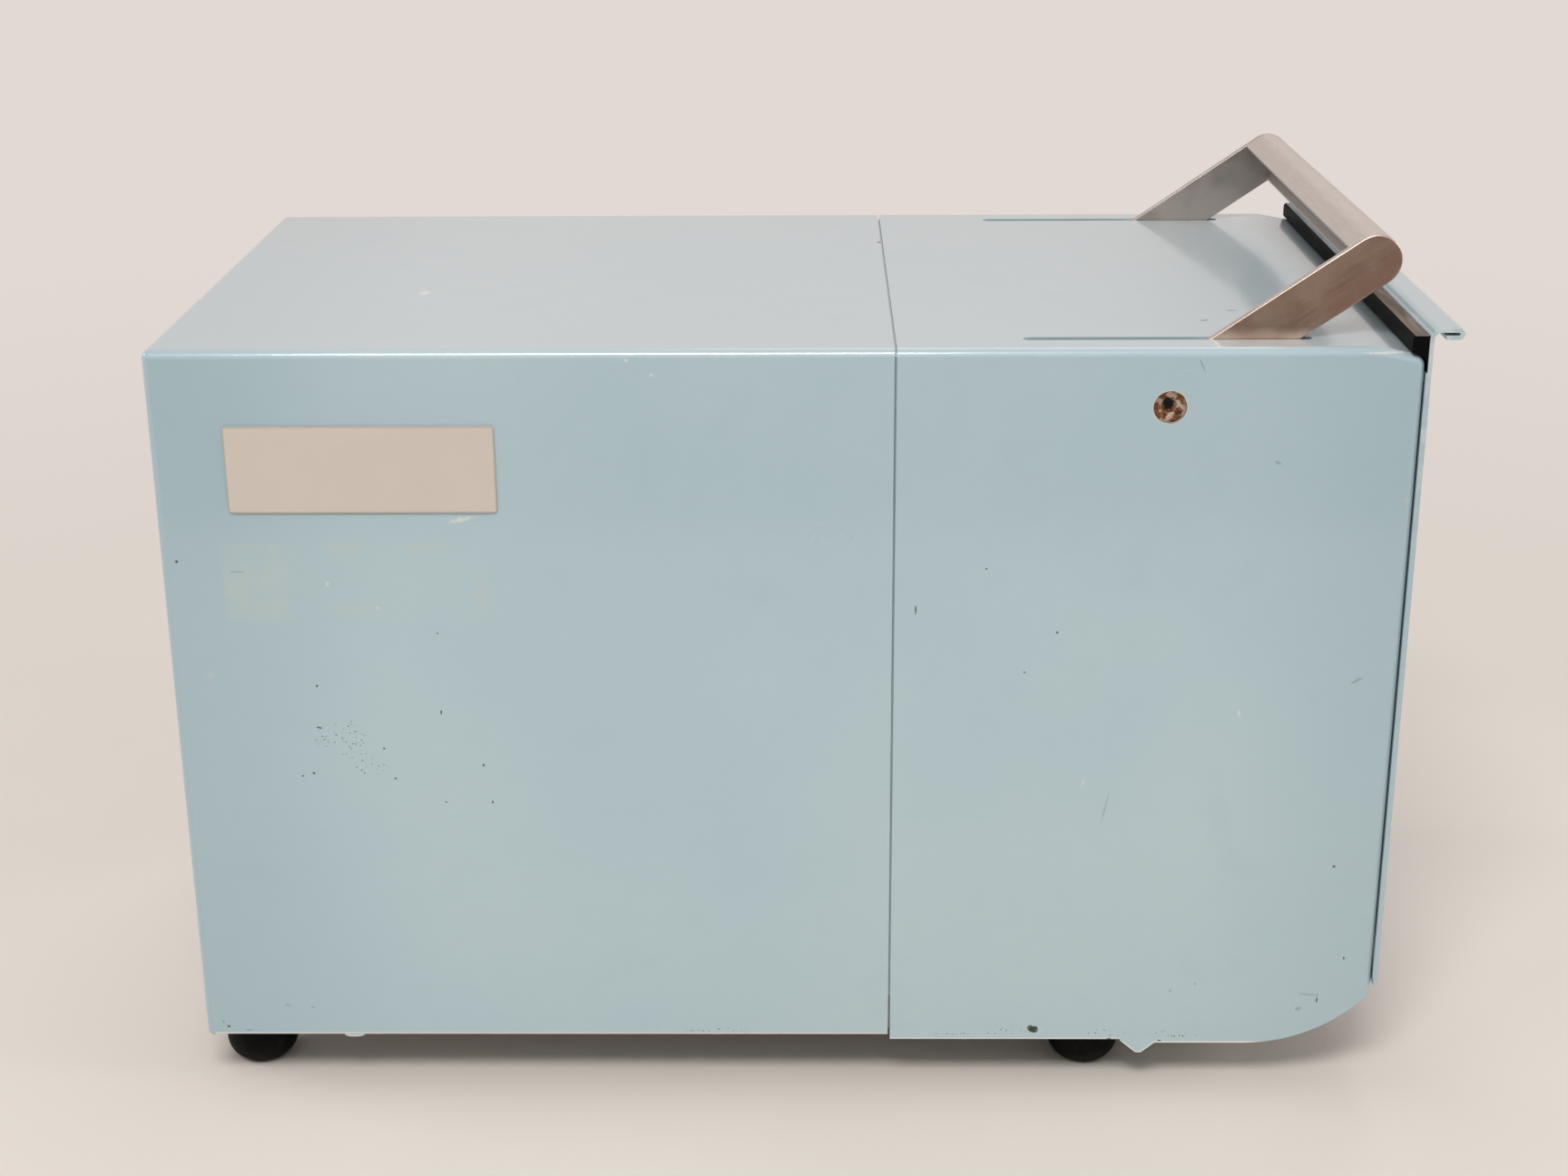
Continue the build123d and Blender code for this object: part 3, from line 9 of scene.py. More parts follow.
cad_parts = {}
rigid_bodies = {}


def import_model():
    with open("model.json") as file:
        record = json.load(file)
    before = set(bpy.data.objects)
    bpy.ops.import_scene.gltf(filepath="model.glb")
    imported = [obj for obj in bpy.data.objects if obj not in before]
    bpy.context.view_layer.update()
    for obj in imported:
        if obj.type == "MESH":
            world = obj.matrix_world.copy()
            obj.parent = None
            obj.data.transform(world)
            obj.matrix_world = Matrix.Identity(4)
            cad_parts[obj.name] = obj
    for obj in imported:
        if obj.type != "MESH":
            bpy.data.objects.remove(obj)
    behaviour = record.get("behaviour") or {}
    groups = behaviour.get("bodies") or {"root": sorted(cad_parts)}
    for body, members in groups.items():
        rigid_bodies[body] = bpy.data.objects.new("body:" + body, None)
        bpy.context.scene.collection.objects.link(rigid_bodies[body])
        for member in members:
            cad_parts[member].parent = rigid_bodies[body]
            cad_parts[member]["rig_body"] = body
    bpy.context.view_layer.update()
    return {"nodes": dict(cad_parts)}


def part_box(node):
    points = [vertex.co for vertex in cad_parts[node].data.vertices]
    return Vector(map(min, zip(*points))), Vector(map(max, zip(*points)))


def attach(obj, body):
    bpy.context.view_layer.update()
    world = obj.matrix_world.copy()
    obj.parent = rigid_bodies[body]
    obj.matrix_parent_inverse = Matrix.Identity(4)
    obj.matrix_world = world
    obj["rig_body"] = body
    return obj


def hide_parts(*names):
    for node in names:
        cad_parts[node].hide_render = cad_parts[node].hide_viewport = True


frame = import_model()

# -------------------- where the machine is looked at from
# The machine stands on a bench with its left side to the viewer, who looks down on it a little.
# The eye is at head height of someone sitting at the bench, a little less than a metre away.
mm = 0.001
eye = Vector((4.1, -873.5, 468.1)) * mm
look_down = math.radians(-19.97)
look_round = math.radians(0.72)
lean = math.radians(0.33)
lens_length = 54.99
film_width = 36.0
nearest_seen = 10 * mm


def in_scene(name, data):
    """An object in the scene, made of a mesh, a curve, a lamp or a camera."""
    made = bpy.data.objects.new(name, data)
    bpy.context.scene.collection.objects.link(made)
    return made


camera_data = bpy.data.cameras.new("camera")
camera_data.lens = lens_length
camera_data.sensor_width = film_width
camera_data.clip_start = nearest_seen
camera = in_scene("camera", camera_data)
aim = Matrix.Rotation(look_round, 3, "Z") @ Matrix.Rotation(look_down, 3, "X")
aim = aim @ Matrix.Rotation(lean, 3, "Y") @ Matrix.Rotation(math.radians(90), 3, "X")
camera.matrix_world = Matrix.Translation(eye) @ aim.to_4x4()
bpy.context.scene.camera = camera
bpy.context.scene.view_settings.view_transform = "Standard"


# -------------------- bench, room and light
# A plain pale bench top under the machine, and a pale room round it that shows in gloss and metal.
# One wide soft lamp hangs in front of the machine and above it, and weaker ones behind and at its ends.
def shade(red, green, blue):
    """A colour on a screen's scale of 0 to 255, as the share of light that it sends back."""
    full, dark_end, dark_slope, offset, power = 255, 10.3, 12.92, 0.055, 2.4
    light = []
    for level in (red, green, blue):
        part = level / full
        light.append(part / dark_slope if level < dark_end else ((part + offset) / (1 + offset)) ** power)
    return (*light, 1.0)


class Level:
    """A value that changes from place to place. Arithmetic on it adds the nodes that work it out."""

    def __init__(self, nodes, socket):
        self.nodes = nodes
        self.socket = socket

    def sum(self, operation, first, second):
        return self.nodes.add("ShaderNodeMath", {"operation": operation}, {0: first, 1: second})

    def __add__(self, other):
        return self.sum("ADD", self, other)

    def __radd__(self, other):
        return self.sum("ADD", other, self)

    def __sub__(self, other):
        return self.sum("SUBTRACT", self, other)

    def __rsub__(self, other):
        return self.sum("SUBTRACT", other, self)

    def __mul__(self, other):
        return self.sum("MULTIPLY", self, other)

    def __rmul__(self, other):
        return self.sum("MULTIPLY", other, self)

    def __truediv__(self, other):
        return self.sum("DIVIDE", self, other)

    def __lt__(self, other):
        return self.sum("LESS_THAN", self, other)

    def __abs__(self):
        return self.sum("ABSOLUTE", self, 0.0)

    def most(self, other):
        """The larger of the two, place by place."""
        return self.sum("MAXIMUM", self, other)

    def least(self, other):
        """The smaller of the two, place by place."""
        return self.sum("MINIMUM", self, other)

    def ramp(self, start, end):
        """0 up to start, 1 from end on, and a soft step between them."""
        return self.nodes.add("ShaderNodeMapRange", {"interpolation_type": "SMOOTHSTEP"},
                              {"Value": self, "From Min": start, "From Max": end})


class Nodes:
    """A node tree and the one way that nodes are added to it."""

    def __init__(self, tree):
        self.tree = tree

    def add(self, kind, settings, inputs, output=0):
        """A node with its settings and inputs, as the level that one of its outputs gives."""
        made = self.tree.nodes.new(kind)
        for key, value in settings.items():
            setattr(made, key, value)
        for socket, value in inputs.items():
            self.feed(made.inputs[socket], value)
        return Level(self, made.outputs[output])

    def feed(self, socket, value):
        """Gives a socket a value, or links a level to it."""
        if isinstance(value, Level):
            self.tree.links.new(value.socket, socket)
        else:
            socket.default_value = value

    def length(self, way):
        """How long an arrow is."""
        return self.add("ShaderNodeVectorMath", {"operation": "LENGTH"}, {0: way}, "Value")

    def mix(self, share, first, second):
        """The first colour where share is 0 and the second where it is 1."""
        return self.add("ShaderNodeMix", {"data_type": "RGBA"}, {0: share, 6: first, 7: second}, 2)


class Finish(Nodes):
    """One material: a surface shader, and the levels that vary it over the piece."""

    def __init__(self, name, colour, roughness, metallic=0.0, **constants):
        self.material = bpy.data.materials.new(name)
        self.material.use_nodes = True
        super().__init__(self.material.node_tree)
        self.shader = self.tree.nodes["Principled BSDF"]
        self.base = colour
        self.bumps = None
        self.set("Base Color", colour)
        self.set("Roughness", roughness)
        self.set("Metallic", metallic)
        for socket, value in constants.items():
            self.set(socket.replace("_", " "), value)

    def set(self, socket, value):
        self.feed(self.shader.inputs[socket], value)

    def place(self, turn=(0, 0, 0), stretch=(1, 1, 1), centre=(0, 0, 0)):
        """Places on the piece, measured from a centre along turned and stretched axes."""
        spot = self.add("ShaderNodeTexCoord", {}, {}, "Object")
        return self.add("ShaderNodeMapping", {"vector_type": "TEXTURE"},
                        {"Vector": spot, "Location": centre, "Rotation": turn, "Scale": stretch})

    def along(self, axis):
        """How far along X, Y or Z a place is, in metres."""
        spot = self.add("ShaderNodeTexCoord", {}, {}, "Object")
        return self.add("ShaderNodeSeparateXYZ", {}, {0: spot}, axis)

    def facing(self, axis):
        """How much the surface faces along X, Y or Z, from -1 to 1."""
        way = self.add("ShaderNodeTexCoord", {}, {}, "Normal")
        return self.add("ShaderNodeSeparateXYZ", {}, {0: way}, axis)

    def noise(self, size, detail=2.0, turn=(0, 0, 0), stretch=(1, 1, 1), centre=(0, 0, 0)):
        """Soft random levels about 0.5, whose lumps are about size across."""
        return self.add("ShaderNodeTexNoise", {}, {"Vector": self.place(turn, stretch, centre),
                                                   "Scale": 1 / size, "Detail": detail})

    def grains(self, size):
        """Distance from the nearest of many scattered points, in shares of their spacing."""
        return self.add("ShaderNodeTexVoronoi", {}, {"Vector": self.place(), "Scale": 1 / size}, "Distance")

    def spot(self, centre, reach, turn=(0, 0, 0), edge=0.25, ragged=None):
        """1 in a round or long mark, 0 outside it."""
        away = self.length(self.place(turn, reach, centre))
        if ragged:
            swing = 1.6
            away = away + (ragged - 0.5) * swing
        return 1 - away.ramp(1 - edge, 1 + edge)

    def tinted(self, colour, share):
        """Lays a colour over what is there."""
        self.base = self.mix(share, self.base, colour)
        self.set("Base Color", self.base)

    def bump(self, height, depth):
        """Lays relief of this depth, in metres, over what is there."""
        below = {} if self.bumps is None else {"Normal": self.bumps}
        self.bumps = self.add("ShaderNodeBump", {}, {"Height": height, "Distance": depth, **below})
        self.set("Normal", self.bumps)

    def clouded(self, colour, cover, size, start, full, detail=3.0):
        """Lays a colour over in soft clouds of this size, which grow between two levels of noise."""
        self.tinted(colour, self.noise(size, detail).ramp(start, full) * cover)

    def roughened(self, least, spread, size, detail=2.0):
        """Makes the surface rougher and smoother in soft lumps of this size."""
        self.set("Roughness", least + spread * self.noise(size, detail))

    def grained(self, size, depth, detail=2.0):
        """Lays soft grain of this size and depth over what is there."""
        self.bump(self.noise(size, detail), depth)


def backdrop(name, corners, finish):
    """A flat four-cornered thing that belongs to the scene and not to the machine."""
    mesh = bpy.data.meshes.new(name)
    mesh.from_pydata(corners, [], [(0, 1, 2, 3)])
    mesh.materials.append(finish)
    made = in_scene(name, mesh)
    return made


def looked_at(nodes):
    """1 for what the camera sees, straight or in gloss and glass, 0 for the light that falls on things."""
    straight, gloss, glass = [nodes.add("ShaderNodeLightPath", {}, {}, ray)
                              for ray in ("Is Camera Ray", "Is Glossy Ray", "Is Transmission Ray")]
    return straight.most(gloss).most(glass)


bench_colour = shade(246, 235, 225)
room_colour = shade(226, 217, 212)
haze_colour = shade(220, 212, 204)
bench_half = 6.0
haze_start, haze_end = 0.20, 0.75
room_start, room_end = 0.5, 1.6
bench = Finish("bench_top", bench_colour, 0.6)
bench.clouded(shade(230, 221, 211), 0.35, 350 * mm, 0.45, 0.7)
bench.grained(4 * mm, 0.06 * mm, 3.0)
away = bench.length(bench.place())
distance = bench.mix(away.ramp(room_start, room_end), haze_colour, room_colour)
haze = bench.add("ShaderNodeEmission", {}, {"Color": distance, "Strength": 1.0})
lit = Level(bench, bench.shader.outputs[0])
far = away.ramp(haze_start, haze_end) * looked_at(bench)
blend = bench.add("ShaderNodeMixShader", {}, {0: far, 1: lit, 2: haze})
bench.feed(bench.tree.nodes["Material Output"].inputs["Surface"], blend)
backdrop("bench_top", [(-bench_half, -bench_half, 0), (bench_half, -bench_half, 0),
                       (bench_half, bench_half, 0), (-bench_half, bench_half, 0)], bench.material)

fill = 0.34
world = bpy.data.worlds.new("room")
world.use_nodes = True
bpy.context.scene.world = world
room = Nodes(world.node_tree)
seen = looked_at(room)
daylight = (fill, fill, fill, 1)
wall = room.mix(seen, daylight, room_colour)
room.feed(world.node_tree.nodes["Background"].inputs["Color"], wall)


def lamp(name, place, width, height, watts):
    """A flat soft lamp that faces the middle of the machine. Its place and size are in metres."""
    machine_middle = Vector((0, 0, 0.15))
    data = bpy.data.lights.new(name, "AREA")
    data.shape = "RECTANGLE"
    data.size = width
    data.size_y = height
    data.energy = watts
    facing = (machine_middle - Vector(place)).to_track_quat("-Z", "Y")
    in_scene(name, data).matrix_world = Matrix.Translation(place) @ facing.to_matrix().to_4x4()


lamp("front_lamp", (-0.22, -1.36, 1.85), 0.8, 0.6, watts=22)
lamp("back_lamp", (0.3, 1.2, 2.3), 1.0, 0.8, watts=6)
lamp("door_lamp", (1.9, -0.3, 1.0), 0.9, 0.7, watts=7)
lamp("rear_lamp", (-2.0, 0.3, 1.0), 0.9, 0.7, watts=6)

# A dark card stands in for the bench's dark front edge: a painted reflection, which shows in polished faces
# that look down and forward, and nowhere else.
edge_low, edge_high = 0.0, 0.3
edge_reach, edge_half = -0.75, 1.0
reflected_edge_brown = (0.085, 0.06, 0.045, 1)
edge = Finish("bench_edge", (0, 0, 0, 1), 1.0, Emission_Color=reflected_edge_brown, Emission_Strength=1.0,
              Specular_IOR_Level=0.0)
edge_corners = [(edge_half, edge_reach, edge_low), (-edge_half, edge_reach, edge_low),
                (-edge_half, edge_reach, edge_high), (edge_half, edge_reach, edge_high)]
bench_edge = backdrop("bench_edge", edge_corners, edge.material)
bench_edge.visible_camera = False
bench_edge.visible_diffuse = False
bench_edge.visible_shadow = False


# -------------------- base tray
# The tray that everything stands on: 2 mm sheet steel, folded up at its edges and zinc plated.
# The covers are screwed to it from below, through their turned-in edges.
weld = 0.01 * mm


def darker(tone, share):
    """A metal's tone, darkened to a share of what it was."""
    return tuple(share * level for level in tone[:3]) + (1,)


def plated(name, tone, roughness=0.42):
    """Zinc or nickel plate: dull metal with faint clouds and rubbed patches."""
    finish = Finish(name, tone, roughness, 1.0)
    finish.clouded(darker(tone, 0.72), 0.6, 20 * mm, 0.45, 0.75, 4.0)
    finish.roughened(roughness - 0.08, 0.2, 6 * mm, 3.0)
    finish.grained(0.8 * mm, 0.01 * mm)
    return finish.material


def dressed(node, name, finish, edge=0.0, smooth=35):
    """A node's own shape with its triangles joined up, its sharp edges eased and its curves smooth."""
    flat, sharp, eased_smooth = math.radians(0.4), math.radians(40), 50
    shape = bmesh.new()
    shape.from_mesh(frame["nodes"][node].data)
    bmesh.ops.remove_doubles(shape, verts=shape.verts, dist=weld)
    if edge:
        bmesh.ops.dissolve_limit(shape, angle_limit=flat, verts=shape.verts, edges=shape.edges)
    shape.verts.index_update()
    mesh = bpy.data.meshes.new(name)
    mesh.from_pydata([v.co[:] for v in shape.verts], [], [[v.index for v in f.verts] for f in shape.faces])
    shape.free()
    mesh.materials.append(finish)
    piece = in_scene(name, mesh)
    if edge:
        eased = piece.modifiers.new("eased", "BEVEL")
        eased.width = edge
        eased.segments = 2
        eased.limit_method = "ANGLE"
        eased.angle_limit = sharp
        applied(piece)
        smooth = max(smooth, eased_smooth)
    piece.data.shade_smooth()
    piece.data.set_sharp_from_angle(angle=math.radians(smooth))
    level = piece.modifiers.new("level", "WEIGHTED_NORMAL")
    level.keep_sharp = True
    applied(piece)
    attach(piece, frame["nodes"][node]["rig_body"])
    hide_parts(node)
    return piece


def applied(piece):
    """Turns a piece's modifiers into plain mesh."""
    ready = piece.evaluated_get(bpy.context.evaluated_depsgraph_get())
    mesh = bpy.data.meshes.new_from_object(ready)
    piece.modifiers.clear()
    piece.data = mesh


def painted(nodes, finish):
    """Gives nodes whose shape stays as it is their finish."""
    for node in nodes:
        materials = frame["nodes"][node].data.materials
        materials.clear()
        materials.append(finish)


zinc = plated("zinc_plate", (0.50, 0.51, 0.52, 1))
dressed("base_tray", "tray_sheet", zinc)
dressed("sill", "sill_sheet", zinc)
painted(["cover_spacers"], zinc)


# -------------------- feet
# Four turned rubber feet, each held by a screw up its middle. They are black and matt,
# with bench dust on the belly and a pale scuffed ring where they stand.
rubber_black = shade(7, 7, 8)
dust = shade(120, 114, 106)
scuffed_up_to, clean_above = 0.3 * mm, 1.6 * mm
foot_rubber = Finish("foot_rubber", rubber_black, 0.62, Specular_IOR_Level=0.12)
foot_rubber.clouded(dust, 0.03, 4 * mm, 0.5, 0.75, 4.0)
foot_rubber.tinted(dust, (1 - foot_rubber.along("Z").ramp(scuffed_up_to, clean_above)) * 0.22)
foot_rubber.roughened(0.5, 0.25, 3 * mm, 3.0)
foot_rubber.grained(0.9 * mm, 0.03 * mm, 3.0)
for corner in ("rear_left", "rear_right", "front_left", "front_right"):
    dressed("foot_" + corner, "rubber_foot_" + corner, foot_rubber.material, smooth=50)


# -------------------- frame plates, bulkhead and brackets
# Plates of 2 to 6 mm steel that stand on the tray: the two side frames, the bulkhead behind the chamber
# and the bearing brackets. All are zinc plated, and riveted, bolted or pressed together.
painted(["frame_plate_left", "frame_plate_right", "bulkhead", "crank_bracket_left", "crank_bracket_right",
         "pivot_studs", "hinge_pins", "motor_cradle"], zinc)


# -------------------- chamber and door pan
# A welded tub of 1.2 mm stainless, open to the door, and the shallow pan on the door that closes it.
# Both are brushed along the machine's width and a little dulled by washing.
def brushed(name, tone, roughness, grain_turn=(0, 0, 0), grain=(1, 40, 1), fine=0.35 * mm, marks=0.25):
    """Brushed stainless: fine lines one way, cloudy patches, and a few rubbed places."""
    scratch_depth = 0.006 * mm
    finish = Finish(name, tone, roughness, 1.0)
    lines = finish.noise(fine, 2.0, grain_turn, grain)
    broad = finish.noise(30 * mm, 4.0)
    finish.tinted(darker(tone, 0.78), lines.ramp(0.35, 0.75) * 0.5)
    finish.tinted(darker(tone, 0.70), broad.ramp(0.45, 0.75) * marks)
    finish.set("Roughness", roughness - 0.06 + 0.16 * lines + 0.1 * (broad - 0.5))
    finish.bump(lines, scratch_depth)
    return finish


steel_tone = (0.60, 0.585, 0.57, 1)
tub_steel = brushed("tub_steel", steel_tone, 0.36).material
dressed("chamber_liner", "chamber_tub", tub_steel)
dressed("door_liner", "door_pan", tub_steel)


# -------------------- paddles, rods and seals
# Two thick stainless paddles with rounded corners, each on two ground rods that run in bronze bushes.
# A black rubber ring wipes each rod where it enters the chamber.
paddle_steel = brushed("paddle_steel", steel_tone, 0.3, grain=(1, 1, 40)).material
rod_steel = brushed("ground_rod", (0.66, 0.66, 0.65, 1), 0.2, grain=(40, 1, 1), marks=0.1).material
bronze = Finish("bush_bronze", (0.50, 0.35, 0.17, 1), 0.4, 1.0)
bronze.clouded((0.30, 0.19, 0.09, 1), 0.6, 4 * mm, 0.45, 0.7)
bronze.grained(0.6 * mm, 0.01 * mm)
seal_rubber = Finish("seal_rubber", rubber_black, 0.5)
seal_rubber.clouded(dust, 0.15, 3 * mm, 0.5, 0.8)
seal_rubber.grained(0.5 * mm, 0.01 * mm)
for side in ("left", "right"):
    dressed("paddle_" + side, "paddle_plate_" + side, paddle_steel)
    dressed("guide_rods_" + side, "ground_rods_" + side, rod_steel)
dressed("rod_seals", "rod_wipers", seal_rubber.material)
painted(["rod_bushes", "pivot_bushes"], bronze.material)


# -------------------- crank, yokes and belt drive
# A steel crankshaft with two throws works two aluminium yokes, and a flat belt turns it from the motor.
# Its pulleys are turned aluminium; shaft, rollers and bearings are bright steel with a film of oil.
bright_steel = plated("bright_steel", (0.56, 0.56, 0.56, 1), 0.28)
turned_alloy = plated("turned_alloy", (0.68, 0.69, 0.70, 1), 0.34)
belt_rubber = Finish("belt_rubber", shade(30, 29, 28), 0.7)
belt_rubber.clouded(dust, 0.3, 2 * mm, 0.45, 0.7, 4.0)
belt_rubber.grained(0.7 * mm, 0.04 * mm, 3.0)
painted(["crankshaft", "crank_rollers", "crank_bearings"], bright_steel)
painted(["yoke_left", "yoke_right", "crank_pulley", "motor_pulley"], turned_alloy)
painted(["drive_belt"], belt_rubber.material)


# -------------------- motor and its electrics
# A ribbed motor of cast aluminium lies in its cradle with a plastic fan on its left end.
# Its run capacitor is an aluminium can, and the terminal block is moulded.
cast_alloy = plated("cast_alloy", (0.55, 0.56, 0.57, 1), 0.5)
moulded = Finish("moulded_black", shade(44, 44, 46), 0.48)
moulded.clouded(shade(66, 65, 64), 0.35, 10 * mm, 0.5, 0.8)
moulded.roughened(0.42, 0.16, 4 * mm)
moulded.grained(0.6 * mm, 0.02 * mm)
painted(["motor_body", "motor_bells", "run_capacitor"], cast_alloy)
painted(["motor_rotor"], bright_steel)
painted(["cooling_fan", "terminal_block", "timer_body"], moulded.material)


# -------------------- covers and door panel
# Three shells of 1.5 mm sheet steel, folded, and sprayed with semi-gloss duck-egg blue enamel.
# The covers meet at a seam and are screwed from below. The door turns on two pins at its foot, and its
# folded side edges close on the front cover.
left_face = -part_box("front_cover")[1].y
cover_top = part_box("rear_cover")[1].z
duck_egg = shade(182, 205, 213)
duck_egg_pale = shade(192, 212, 217)
bare_dark = shade(26, 27, 29)
grazed = shade(112, 126, 132)
old_glue = shade(194, 207, 199)
primer_and_highlight = shade(228, 228, 222)
worn_and_highlit_edge = shade(246, 244, 239)
bleach_dust_and_sheen = shade(197, 191, 188)
rust_brown = shade(124, 88, 62)
mark_depth = 3 * mm


def mark(x, z, long, wide, turn=0):
    """A mark on the left side: its place along and up, half its length and half its width in millimetres,
    and its turn in degrees."""
    return (x * mm, left_face, z * mm), (long * mm, mark_depth, wide * mm), (0, math.radians(turn), 0)


def top_mark(x, y, long, wide, turn=0):
    """The same on the top: its place along and across."""
    return (x * mm, y * mm, cover_top), (long * mm, wide * mm, mark_depth), (0, 0, math.radians(turn))


def enamel(name, chips=(), scuffs=(), rubs_and_highlights=(), specks=(), stains=()):
    """Sprayed enamel with orange peel and slow clouds of shade, and the marks of years on a bench.

    Chips are down to dark metal, scuffs are grey, rubs are pale, specks are patches of fine dark dots and
    stains are yellowed; one front rub along the top bend is a painted highlight. The paint is darker
    towards the machine's ends, a painted shade for the lamp's falloff. Upward faces are paled, partly by
    dust and bleaching and partly by a painted sheen for the pale room that they reflect. The folded lower
    edges are painted pale, partly worn paint and partly a painted highlight from the bright bench."""
    coat = Finish(name, duck_egg, 0.3, Coat_Weight=0.75, Coat_Roughness=0.1)
    broad = coat.noise(160 * mm, 3.0)
    middling = coat.noise(20 * mm, 3.0)
    ragged = coat.noise(1.1 * mm, 2.0)
    coat.tinted(duck_egg_pale, broad.ramp(0.35, 0.68) * 0.75)
    coat.tinted(shade(173, 197, 203), middling.ramp(0.55, 0.8) * 0.22)

    def marks(places, edge):
        """1 in any mark of a list, 0 between them."""
        found = None
        for centre, reach, turn in places:
            one = coat.spot(centre, reach, turn, edge, ragged)
            found = one if found is None else found.most(one)
        return found

    # Painted shade: the paint is darkened towards the machine's ends for the lamp's falloff.
    even_up_to, darkest_at = 130 * mm, 215 * mm
    falloff_shade_at_ends = abs(coat.along("X")).ramp(even_up_to, darkest_at)
    coat.tinted(shade(164, 188, 197), falloff_shade_at_ends * 0.5)
    # Upward faces are paled: partly dust and bleaching, partly a painted sheen for the pale room they
    # reflect.
    coat.tinted(bleach_dust_and_sheen, coat.facing("Z").ramp(0.55, 0.98) * 0.28)
    for places, edge, colour, cover in ((stains, 0.45, old_glue, 0.4), (scuffs, 0.4, grazed, 0.45),
                                        (rubs_and_highlights, 0.4, primer_and_highlight, 0.75)):
        if places:
            coat.tinted(colour, marks(places, edge) * cover)
    if specks:
        fine = 1 - coat.grains(1.2 * mm).ramp(0.16, 0.3)
        thinned = coat.noise(3 * mm, 2.0).ramp(0.40, 0.50)
        coat.tinted(bare_dark, marks(specks, 0.4) * fine * thinned * 0.75)
    # The folds of the lower edges, facing a little down, are painted pale: partly worn paint, partly a
    # painted highlight from the bright bench below.
    down = -1 * coat.facing("Z")
    coat.tinted(worn_and_highlit_edge, down.ramp(0.02, 0.12) * (1 - down.ramp(0.6, 0.85)) * 0.85)
    if chips:
        bare = marks(chips, 0.2)
        coat.tinted(bare_dark, bare * 0.82)
        coat.bump(1 - bare, 0.08 * mm)
    coat.set("Roughness", 0.25 + 0.12 * middling + 0.06 * (broad - 0.5))
    coat.grained(2.2 * mm, 0.035 * mm)
    coat.grained(45 * mm, 0.35 * mm)
    return coat


rear_chips = [
    mark(-210.2, 201.7, 0.55, 0.55), mark(-123.6, 175.6, 0.35, 0.35), mark(-166.2, 156.3, 0.45, 0.45),
    mark(-166.4, 140.7, 0.9, 0.35, 20), mark(-123.9, 146.5, 0.25, 0.9), mark(-144.5, 132.9, 0.5, 0.35),
    mark(-169.5, 123.6, 0.6, 0.4, 30), mark(-173.4, 122.5, 0.45, 0.35), mark(-141.1, 121.5, 0.4, 0.4),
    mark(-110.2, 126.6, 0.3, 0.6, 10), mark(-123.9, 112.4, 0.3, 0.3), mark(-107.7, 112.4, 0.3, 0.6),
    mark(-207.8, 23.1, 0.6, 0.45), top_mark(30.6, 56.1, 0.9, 1.9),
]
rear_scuffs = [
    mark(-189.9, 198.0, 2.2, 0.35), mark(-185.4, 31.7, 1.0, 0.4, 15), mark(-176.6, 30.9, 0.6, 0.35),
    mark(-200.5, 21.6, 1.0, 0.4), mark(-209.5, 25.0, 0.4, 0.7, 30),
]
rear_rubs = [
    mark(-113.5, 216.3, 3.4, 0.8, -12), mark(-159.8, 193.8, 0.5, 0.8), mark(-143.4, 184.9, 0.4, 0.6),
    mark(-56.6, 271.1, 0.7, 0.5), mark(-48.4, 266.2, 0.8, 0.5), top_mark(-135.0, -30.0, 1.6, 3.0),
]
rear_specks = [
    mark(-159.4, 136.3, 8.0, 5.0), mark(-150.0, 127.0, 6.0, 4.0), mark(-158.0, 141.0, 4.0, 3.0),
    mark(-30.0, 21.6, 12.0, 1.0),
]
rear_stains = [
    mark(-202.4, 160.4, 1.6, 1.3), mark(-153.7, 206.4, 5.0, 2.2), mark(-125.0, 206.4, 6.0, 2.0),
    mark(-152.1, 184.6, 6.0, 2.0), mark(-107.8, 189.1, 2.5, 4.0),
]
front_chips = [
    mark(82.8, 22.5, 1.4, 1.0, 20), mark(84.4, 21.2, 0.9, 0.5), mark(185.0, 34.0, 0.3, 0.8),
    mark(39.1, 183.7, 0.28, 1.5), mark(87.2, 175.7, 0.45, 0.4), mark(62.7, 198.6, 0.35, 0.3),
    mark(76.5, 161.1, 0.35, 0.3), mark(187.3, 87.4, 0.5, 0.4), mark(111.2, 18.0, 0.9, 0.5),
    mark(129.4, 17.2, 0.7, 0.5), mark(193.5, 51.0, 0.3, 0.6), top_mark(137.6, -74.6, 1.6, 0.7, 30),
    top_mark(149.2, -60.1, 2.4, 0.6),
]
front_scuffs = [
    mark(181.6, 36.4, 3.0, 0.3, 6), mark(185.1, 35.6, 0.28, 1.5), mark(178.6, 30.6, 1.2, 0.6, -20),
    mark(141.0, 40.6, 0.4, 0.4), mark(132.4, 37.8, 0.5, 0.5), mark(158.1, 235.7, 1.2, 0.5, 20),
    mark(190.0, 158.0, 2.2, 0.5, -30), mark(131.4, 269.0, 0.25, 2.4, -25),
    mark(106.0, 110.0, 0.25, 5.0, 12),
]
# The last front rub, long and thin on the top bend near the front, is a painted highlight on the fold.
front_rubs_and_highlight = [mark(150.5, 146.0, 0.5, 0.9), mark(98.0, 120.0, 0.3, 1.4, 12), mark(192.0, 272.8, 7.5, 0.35)]
front_specks = [
    mark(79.0, 21.6, 13.0, 1.0, 3), mark(109.0, 20.6, 7.0, 1.2), mark(133.0, 20.0, 9.0, 1.2, 4),
    mark(60.0, 20.4, 14.0, 0.7),
]
front_stains = [mark(164.7, 141.1, 0.8, 1.6), mark(201.6, 222.4, 0.8, 1.2)]

rear_coat = enamel("rear_cover_enamel", rear_chips, rear_scuffs, rear_rubs, rear_specks, rear_stains)
front_coat = enamel("front_cover_enamel", front_chips, front_scuffs, front_rubs_and_highlight, front_specks, front_stains)
door_coat = enamel("door_enamel")

